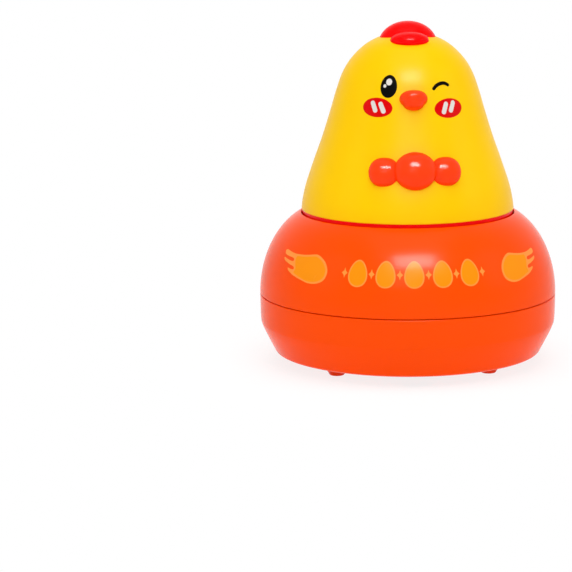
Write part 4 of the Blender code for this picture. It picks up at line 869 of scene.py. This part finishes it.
eye = film("eye", [oval(*EYE, *EYE_HALF)], on_face, BLACK_INK)
lights = [oval(*BIG_LIGHT, *BIG_LIGHT_HALF, steps=32), oval(*SMALL_LIGHT, *SMALL_LIGHT_HALF, steps=24)]
eye_lights = film("eye_lights", lights, on_face, WHITE_INK, 2, FINE_STEP)
wink = film("wink", [stroke([face_spot(*spot) for spot in WINK], WINK_WIDTH)], on_face, BLACK_INK)
for piece in (eye, eye_lights, wink):
    belongs(piece, "press_body", "body_plastic")

# %% The cheeks and their bars
CHEEK_HALF = (4.25 * MM, 2.65 * MM)
CHEEKS = (((-28.2, 55.4), -4), ((28.2, 55.0), 4))
BARS = (((-32.2, 56.6), (-29.4, 54.6)), ((-25.6, 56.4), (-22.8, 54.4)),
        ((26.0, 56.2), (23.3, 54.0)), ((32.5, 56.4), (29.5, 54.3)))
BAR_WIDTH = 1.25 * MM

ovals = [oval(*face_spot(*spot), *CHEEK_HALF, tilt) for spot, tilt in CHEEKS]
strokes = [stroke([face_spot(*spot) for spot in ends], BAR_WIDTH) for ends in BARS]
belongs(film("cheeks", ovals, on_face, CHEEK_INK), "press_body", "body_plastic")
belongs(film("cheek_bars", strokes, on_face, WHITE_INK, 2, FINE_STEP), "press_body", "body_plastic")

# %% [markdown]
# ## The ornament on the base
#
# A comet flies outwards on each side: a round head with a tail of three blunt flames. Between them runs a
# plain row of eggs and small diamonds. Each shape is printed twice, first in a light peach and then in
# amber a little further in, so a light border is left round it. A comet's x runs away from its middle, in
# degrees round the base, and its y is the height over the seam in millimetres. The right comet is a little
# shorter than the left.

# %% The comet and its heart
# Each comet is the side it is on, where its middle is, and how far it is stretched.
COMETS = ((-1, 46.0, 1.0), (1, 42.5, 0.86))
COMET = ((20.2, 15.3), (19.1, 15.7), (15.6, 15.4), (12.0, 15.2), (7.2, 15.3), (3.3, 15.6), (0.4, 15.9),
         (-1.5, 15.9), (-3.9, 15.3), (-6.3, 14.2), (-7.8, 12.7), (-8.1, 11.3), (-7.3, 9.8), (-5.4, 8.8),
         (-2.6, 8.25), (0.6, 8.2), (3.7, 8.6), (7.1, 9.1), (10.0, 9.6), (12.7, 10.3), (13.7, 10.7),
         (13.9, 11.15), (11.9, 11.0), (10.3, 11.05), (10.1, 11.5), (11.1, 11.9), (13.2, 12.1), (15.3, 12.4),
         (17.4, 12.75), (18.7, 13.2), (18.8, 13.6), (16.8, 13.4), (14.7, 13.2), (12.7, 13.1), (11.6, 13.3),
         (11.8, 13.8), (13.1, 14.05), (15.3, 14.15), (17.6, 14.3), (19.4, 14.6))
COMET_HEART = ((10.2, 14.7), (6.0, 14.85), (2.5, 15.15), (-1.0, 15.35), (-4.2, 14.5), (-6.7, 12.8),
               (-7.1, 11.2), (-6.2, 9.9), (-4.2, 9.1), (-1.6, 8.7), (1.6, 8.75), (5.0, 9.3), (8.2, 9.9),
               (9.6, 10.3), (9.0, 11.3), (9.6, 12.2), (10.4, 13.2), (10.6, 14.2))


def base_spot(turn, z_over_seam):
    """A place on the upper shell, in degrees and millimetres, as flat coordinates."""
    return (radians(turn) * BASE_RADIUS, z_over_seam * MM)


def on_base(x, y, lift):
    """Flat coordinates to the upper shell."""
    return on_surface(UPPER, x / BASE_RADIUS * 180 / pi, SEAM_Z + y, lift)


def comet(points):
    """A comet's closed outline on each side."""
    curve = smooth((*points, points[0]), 4)[:-1]
    return [[base_spot(side * (middle + stretch * x), y) for x, y in curve]
            for side, middle, stretch in COMETS]


print("points round a comet and its heart:", len(comet(COMET)[0]), len(comet(COMET_HEART)[0]))

# %% The row of eggs and diamonds
ROW_MIDDLE, ROW_HEIGHT, ROW_RADIUS = -2.0, 12.2, 41.0
EGG_SPACING, EGG_STEPS = 11.2, 40
EGG_HALF, EGG_TAPER = (2.8, 3.6), 0.16
DIAMOND_HALF, DIAMOND_RISE = 0.9, 1.5
DIAMOND = ((1, 0), (0.3, 0.4), (0, 1), (-0.3, 0.4), (-1, 0), (-0.3, -0.4), (0, -1), (0.3, -0.4))
BORDER = 0.4


def row_degrees(millimetres):
    """A length along the row, as an angle."""
    return millimetres / ROW_RADIUS * 180 / pi


def egg(turn, inset=0.0):
    """An upright egg, narrower at the top, centred at the height of the row."""
    points = []
    for k in range(EGG_STEPS):
        t = 2 * pi * k / EGG_STEPS
        across = row_degrees(EGG_HALF[0] - inset) * (1 - EGG_TAPER * sin(t)) * cos(t)
        points.append(base_spot(turn + across, ROW_HEIGHT + (EGG_HALF[1] - inset) * sin(t)))
    return points


def diamond(turn):
    """A small upright diamond with hollow sides."""
    return [base_spot(turn + row_degrees(DIAMOND_HALF) * x, ROW_HEIGHT + DIAMOND_RISE * DIAMOND_HALF * y)
            for x, y in DIAMOND]


egg_turns = [ROW_MIDDLE + EGG_SPACING * k for k in range(-2, 3)]
diamonds = [diamond(ROW_MIDDLE + EGG_SPACING / 2 * k) for k in (-5, -3, -1, 1, 3, 5)]
print("eggs and diamonds:", len(egg_turns), len(diamonds))

# %% Print the ornament
borders = comet(COMET) + [egg(turn) for turn in egg_turns] + diamonds
hearts = comet(COMET_HEART) + [egg(turn, BORDER) for turn in egg_turns]
belongs(film("ornament_border", borders, on_base, PEACH_INK), "base", "base_plastic")
belongs(film("ornament", hearts, on_base, AMBER_INK, 2), "base", "base_plastic")

# %% [markdown]
# ## Wheels
#
# Each rear wheel is a pale dished hub with a black ribbed tyre. A tyre's ribs are the same small bar many
# times round a circle. An Array modifier could copy it, but this is work for Geometry Nodes: the tree takes
# the number of ribs, their size and the wheel's size as named inputs, and ends in plain mesh.

# %% A geometry tree with named inputs
RIB_INPUTS = {"Geometry": "Geometry", "Middle": "Vector", "Ribs": "Int", "Radius": "Float", "Width": "Float",
              "Rib Width": "Float", "Rib Height": "Float", "Rubber": "Material"}


def geometry_tree(name, inputs):
    """A new tree that takes and gives geometry: the tree, its graph, and its inputs as Signals by name."""
    tree = bpy.data.node_groups.new(name, "GeometryNodeTree")
    for label, kind in inputs.items():
        tree.interface.new_socket(label, in_out="INPUT", socket_type="NodeSocket" + kind)
    tree.interface.new_socket("Geometry", in_out="OUTPUT", socket_type="NodeSocketGeometry")
    graph = Graph(tree)
    given = tree.nodes.new("NodeGroupInput")
    return tree, graph, {label: Signal(graph, given.outputs[label]) for label in inputs}


print("inputs of the rib tree:", ", ".join(RIB_INPUTS))


# %% A node tree that repeats a rib round the axle
def ribbed_tree():
    """Points round a circle, a softened bar on each, joined with the tyre and given its rubber."""
    tree, graph, taken = geometry_tree("ribs round a wheel", RIB_INPUTS)
    turn = graph.node("GeometryNodeInputIndex") * (2 * pi) / taken["Ribs"]
    up = graph.node("ShaderNodeMath", {"operation": "SINE"}, {0: turn})
    along = graph.node("ShaderNodeMath", {"operation": "COSINE"}, {0: turn})
    spot = graph.node("ShaderNodeCombineXYZ", None, {"Y": along * taken["Radius"], "Z": up * taken["Radius"]})
    set_out = graph.node("ShaderNodeVectorMath", {"operation": "ADD"}, {0: taken["Middle"], 1: spot})
    facing = graph.node("ShaderNodeCombineXYZ", None, {"X": turn})
    points = graph.node("GeometryNodePoints", None, {"Count": taken["Ribs"], "Position": set_out})
    size = graph.node("ShaderNodeCombineXYZ", None,
                      {"X": taken["Width"], "Y": taken["Rib Height"], "Z": taken["Rib Width"]})
    bar = graph.node("GeometryNodeMeshCube", None, {"Size": size})
    soft = graph.node("GeometryNodeSubdivisionSurface", None, {"Mesh": bar, "Level": 2, "Edge Crease": 0.75})
    ribs = graph.node("GeometryNodeInstanceOnPoints", None,
                      {"Points": points, "Instance": soft, "Rotation": facing})
    real_ribs = graph.node("GeometryNodeRealizeInstances", None, {"Geometry": ribs})
    both = graph.node("GeometryNodeJoinGeometry")
    for part in (taken["Geometry"], real_ribs):
        tree.links.new(part.socket, both.socket.node.inputs[0])
    real = graph.node("GeometryNodeRealizeInstances", None, {"Geometry": both})
    rubbery = graph.node("GeometryNodeSetMaterial", None, {"Geometry": real, "Material": taken["Rubber"]})
    tree.links.new(rubbery.socket, tree.nodes.new("NodeGroupOutput").inputs[0])
    return tree


def grown(piece, tree, **sizes):
    """Put a geometry tree on a piece with its sizes, and turn the result into plain mesh."""
    step = piece.modifiers.new(tree.name, "NODES")
    step.node_group = tree
    identifiers = {item.name: item.identifier for item in tree.interface.items_tree if item.in_out == "INPUT"}
    for name, value in sizes.items():
        step[identifiers[name.replace("_", " ")]] = value
    settle(piece, SOFT_CORNER)


ribs_tree = ribbed_tree()
print("nodes in the rib tree:", len(ribs_tree.nodes))

# %% Rubber and the hubs' plastic
DUST_SCALE, RUBBER_GRAIN_SCALE = 180.0, 2200.0
RUBBER_GRAIN, RUBBER_GRAIN_DEPTH = 0.35, 0.06 * MM


def rubber():
    """Matt black rubber: dusty in broad patches, with a fine grain."""
    made, graph = new_material("tyre rubber")
    place = graph.node("ShaderNodeTexCoord", output="Object")
    broad = noise(graph, place, DUST_SCALE, 3.0)
    fine = noise(graph, place, RUBBER_GRAIN_SCALE)
    tint = between(graph, broad, linear(30, 30, 32), linear(56, 55, 54))
    bump = graph.node("ShaderNodeBump", None,
                      {"Strength": RUBBER_GRAIN, "Distance": RUBBER_GRAIN_DEPTH, "Height": fine})
    shader = graph.node("ShaderNodeBsdfPrincipled", None,
                        {"Base Color": tint, "Roughness": 0.62 + broad * 0.2, "Normal": bump})
    graph.node("ShaderNodeOutputMaterial", None, {"Surface": shader})
    return made


RUBBER = rubber()
HUB = moulded("hub pale", linear(224, 224, 226), 0.42, drift=0.03)
print("wheel finishes:", RUBBER.name, HUB.name)

# %% Outlines of a tyre and a hub
AXLE_Y, AXLE_Z = 15.5 * MM, 12.0 * MM
WHEEL_RADIUS, TYRE_DEPTH = 12.0 * MM, 3.0 * MM
GROOVE_FLOOR = 0.7 * MM
HUB_WEB, HUB_BOSS, HUB_BORE, HUB_BEND = 0.8 * MM, 3.0 * MM, 1.3 * MM, 1.0 * MM


def tread(low_x, high_x):
    """The smooth carcass of a tyre, under its ribs."""
    inner = WHEEL_RADIUS - TYRE_DEPTH
    outer = WHEEL_RADIUS - GROOVE_FLOOR
    rows = [(inner, low_x), (inner + 1.2 * MM, low_x), (outer - 0.3 * MM, low_x + 0.35 * MM),
            (outer, low_x + 0.8 * MM)]
    far_rows = [(r, low_x + high_x - x) for r, x in reversed(rows)]
    return turned(rows + far_rows, 112, (AXLE_Y, AXLE_Z), "X")


def hub_dish(low_x, high_x):
    """A dished hub, rounded at its rim and its boss."""
    outer = WHEEL_RADIUS - TYRE_DEPTH - 0.02 * MM
    middle, half = (low_x + high_x) / 2, (high_x - low_x) / 2
    boss = [(HUB_BORE, half - 0.2 * MM), (HUB_BORE + 0.2 * MM, half), (HUB_BOSS - 0.35 * MM, half),
            (HUB_BOSS, half - 0.35 * MM)]
    dish = arc((HUB_BOSS + HUB_BEND, HUB_WEB + HUB_BEND), HUB_BEND, 180, 270, 5)
    dish += arc((outer - 2.6 * MM, HUB_WEB + HUB_BEND), HUB_BEND, 270, 360, 5)
    rim = [(outer - 1.6 * MM, half - 0.4 * MM), (outer - 1.2 * MM, half), (outer - 0.3 * MM, half),
           (outer, half - 0.3 * MM)]
    face = boss + dish + rim
    outline = [(r, middle + x) for r, x in face] + [(r, middle - x) for r, x in reversed(face)]
    return turned(outline, 96, (AXLE_Y, AXLE_Z), "X")


print("wheel, mm across and over the ground:", round(2 * WHEEL_RADIUS / MM, 1), round(AXLE_Z / MM, 1))

# %% Two tyres and two hubs
RIBS, RIB_WIDTH, RIB_HEIGHT = 34, 1.15 * MM, 1.24 * MM
RIB_MIDDLE = WHEEL_RADIUS - 0.62 * MM
RIB_SHORTER = 0.7 * MM

for side in ("left", "right"):
    low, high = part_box("tyre_" + side)
    ring = placed("tread_" + side, tread(low[0], high[0]), RUBBER)
    grown(ring, ribs_tree, Middle=((low[0] + high[0]) / 2, AXLE_Y, AXLE_Z), Ribs=RIBS, Radius=RIB_MIDDLE,
          Width=high[0] - low[0] - RIB_SHORTER, Rib_Width=RIB_WIDTH, Rib_Height=RIB_HEIGHT, Rubber=RUBBER)
    hub = placed("dish_" + side, hub_dish(low[0], high[0]), HUB, SOFT_CORNER)
    belongs(ring, "wheels", "tyre_rubber", "tyre_" + side)
    belongs(hub, "wheels", "hub_plastic", "wheel_hub_" + side)

# %% [markdown]
# ## Finishes for the works inside
#
# The gears, the gearbox and the metal parts keep their shapes from the model, because those are right as
# they are. Each gets a finish of its own: milky gear plastic, a dull grey for the gearbox, and bright drawn
# steel, with fine noise that lightens its colour and roughens it in the same places, as drawing marks do.

# %% Steel and the inner plastics
DRAWN_SCALE = 900.0
STEEL_DARK, STEEL_BRIGHT = (0.50, 0.50, 0.52), (0.66, 0.66, 0.67)


def steel():
    """Drawn steel, a metal with fine marks."""
    made, graph = new_material("drawn steel")
    place = graph.node("ShaderNodeTexCoord", output="Object")
    drawn = noise(graph, place, DRAWN_SCALE, 3.0)
    tint = between(graph, drawn, STEEL_DARK, STEEL_BRIGHT)
    shader = graph.node("ShaderNodeBsdfPrincipled", None,
                        {"Base Color": tint, "Roughness": 0.22 + drawn * 0.16, "Metallic": 1.0})
    graph.node("ShaderNodeOutputMaterial", None, {"Surface": shader})
    return made


STEEL = steel()
GEAR = moulded("gear white", linear(232, 230, 220), 0.48, drift=0.03)
BOX = moulded("gearbox grey", linear(112, 115, 120), 0.50)
print("inner finishes:", STEEL.name, GEAR.name, BOX.name)

# %% Give every piece of the model its finish
FINISHES = {"gear_plastic": GEAR, "gearbox_plastic": BOX, "steel": STEEL, "base_plastic": ORANGE,
            "body_plastic": YELLOW, "comb_plastic": COMB_RED_AND_RIM_SHADE, "trim_plastic": TRIM, "tyre_rubber": RUBBER,
            "hub_plastic": HUB}
for subpart in frame["record"]["subparts"]:
    node = frame["nodes"][subpart["node"]]
    for material_slot in node.material_slots:
        material_slot.material = FINISHES[subpart["material_slot"]]

# %% [markdown]
# ## Floor, light and camera
#
# The picture is a plain product shot on a white light table: the ground glows a little, broad soft lamps
# stand in front, above, behind and at the sides, and two small lamps only make the glints on the glossy
# plastic. The white ground and sky are at full white for the camera and in reflections, and much dimmer as
# light on the toy, so its colours stay as they are written. The camera stands where the toy was seen from,
# a little above it, and looks past it to the left.

# %% Floor
FLOOR_DROP, FLOOR_RADIUS = -0.02 * MM, 6.0
NEAR, FAR = 0.040, 0.080
NEAR_WHITE = 0.78
FLOOR_PALE, FLOOR_GLOW = 0.85, 0.20
WHITE = (1.0, 1.0, 1.0, 1.0)


def background(graph):
    """1 for the camera's rays and for what gloss and glass show, and 0 for light that falls on the toy."""
    camera, gloss, glass = (graph.node("ShaderNodeLightPath", output=name)
                            for name in ("Is Camera Ray", "Is Glossy Ray", "Is Transmission Ray"))
    return 1 - (1 - camera) * (1 - gloss) * (1 - glass)


def pale_floor():
    """Lit and shadowed near the toy, plain white further off, and clear for a camera below it."""
    made, graph = new_material("pale floor")
    place = graph.node("ShaderNodeTexCoord", output="Object")
    away = graph.node("ShaderNodeVectorMath", {"operation": "LENGTH"}, {0: place}, 1)
    far = graph.node("ShaderNodeMapRange", {"interpolation_type": "SMOOTHSTEP"},
                     {"Value": away, "From Min": NEAR, "From Max": FAR, "To Min": NEAR_WHITE, "To Max": 1.0})
    matt = graph.node("ShaderNodeBsdfDiffuse", None, {"Color": (FLOOR_PALE, FLOOR_PALE, FLOOR_PALE, 1.0)})
    table = graph.node("ShaderNodeEmission", None, {"Color": WHITE, "Strength": FLOOR_GLOW})
    lit = graph.node("ShaderNodeAddShader", None, {0: matt, 1: table})
    white = graph.node("ShaderNodeEmission", None, {"Color": WHITE, "Strength": 1.0})
    above = graph.node("ShaderNodeMixShader", None, {0: background(graph) * far, 1: lit, 2: white})
    clear = graph.node("ShaderNodeBsdfTransparent")
    camera_ray = graph.node("ShaderNodeLightPath", output="Is Camera Ray")
    under = graph.node("ShaderNodeNewGeometry", output="Backfacing")
    mixed = graph.node("ShaderNodeMixShader", None, {0: camera_ray * under, 1: above, 2: clear})
    graph.node("ShaderNodeOutputMaterial", None, {"Surface": mixed})
    return made


mesh = bmesh.new()
bmesh.ops.create_circle(mesh, cap_ends=True, segments=96, radius=FLOOR_RADIUS,
                        matrix=Matrix.Translation((0, 0, FLOOR_DROP)))
made = pale_floor()
placed("floor", mesh, made)
print("floor, metres across:", 2 * FLOOR_RADIUS)

# %% Sky
SKY_LIGHT = 0.22


def sky():
    """White for the camera and in reflections, and dim as light."""
    world = bpy.data.worlds.new("soft white")
    bpy.context.scene.world = world
    world.use_nodes = True
    graph = Graph(world.node_tree)
    strength = SKY_LIGHT + background(graph) * (1 - SKY_LIGHT)
    light = graph.node("ShaderNodeBackground", None, {"Color": WHITE, "Strength": strength})
    graph.node("ShaderNodeOutputWorld", None, {"Surface": light})


sky()
print("sky as light:", SKY_LIGHT)

# %% Lamps
# Each lamp has its turn from the front and its rise above level, in degrees, its distance, width and height,
# its watts, and the surfaces that it lights: matt ones evenly, or glossy ones with a glint.
LAMPS = (("front light", -2.0, 40.0, 0.9, 0.62, 0.36, 2.2, "matt"),
         ("front glint", 3.0, 48.0, 0.9, 0.44, 0.25, 18.0, "glossy"),
         ("low glint", -8.0, 25.0, 1.0, 0.30, 0.20, 0.7, "glossy"),
         ("top light", 0.0, 78.0, 1.0, 0.80, 0.80, 5.4, "matt"),
         ("low light", 0.0, 4.0, 1.1, 0.90, 0.12, 0.4, "matt"),
         ("left light", -75.0, 25.0, 1.1, 0.50, 0.70, 2.1, "matt"),
         ("right light", 75.0, 25.0, 1.1, 0.50, 0.70, 2.4, "matt"),
         ("back light", 180.0, 35.0, 1.1, 0.70, 0.50, 2.6, "matt"))
LAMP_AIM = Vector((0.0, 0.0, 0.05))


def soft_box(name, turn, rise, distance, width, height, watts, lights):
    """A rectangular lamp that faces the toy."""
    data = bpy.data.lights.new(name, "AREA")
    data.shape = "RECTANGLE"
    data.size = width
    data.size_y = height
    data.energy = watts
    lamp = bpy.data.objects.new(name, data)
    bpy.context.collection.objects.link(lamp)
    level = cos(radians(rise))
    away = Vector((sin(radians(turn)) * level, -cos(radians(turn)) * level, sin(radians(rise))))
    lamp.location = LAMP_AIM + distance * away
    lamp.rotation_euler = away.to_track_quat("Z", "Y").to_euler()
    lamp.visible_camera = False
    lamp.visible_diffuse = lights == "matt"
    lamp.visible_glossy = lights == "glossy"


for lamp in LAMPS:
    soft_box(*lamp)
print("lamps:", len(LAMPS))

# %% Camera
CAMERA_DISTANCE, CAMERA_HEIGHT = 757.0 * MM, 167.1 * MM
CAMERA_ROUND, CAMERA_PITCH = -4.7, 10.40
CAMERA_ASIDE, CAMERA_DOWN = 2.63, 0.46
CAMERA_LENS, CAMERA_SENSOR = 166.3, 36.0


def camera():
    """Stand round to the left, look at the axis, then turn a little aside, as in the picture."""
    data = bpy.data.cameras.new("camera")
    data.sensor_width = CAMERA_SENSOR
    data.lens = CAMERA_LENS
    data.clip_start = 0.01
    stand = bpy.data.objects.new("camera", data)
    bpy.context.collection.objects.link(stand)
    turn = radians(CAMERA_ROUND)
    looking = Matrix.Rotation(turn, 4, "Z") @ Matrix.Rotation(radians(90 - CAMERA_PITCH), 4, "X")
    aside = Matrix.Rotation(radians(CAMERA_ASIDE), 4, "Y") @ Matrix.Rotation(radians(-CAMERA_DOWN), 4, "X")
    place = Vector((CAMERA_DISTANCE * sin(turn), -CAMERA_DISTANCE * cos(turn), CAMERA_HEIGHT))
    stand.matrix_world = Matrix.Translation(place) @ looking @ aside
    bpy.context.scene.camera = stand
    return place


print("camera, mm from the middle:", [round(value / MM) for value in camera()])
bpy.context.scene.view_settings.view_transform = "Standard"
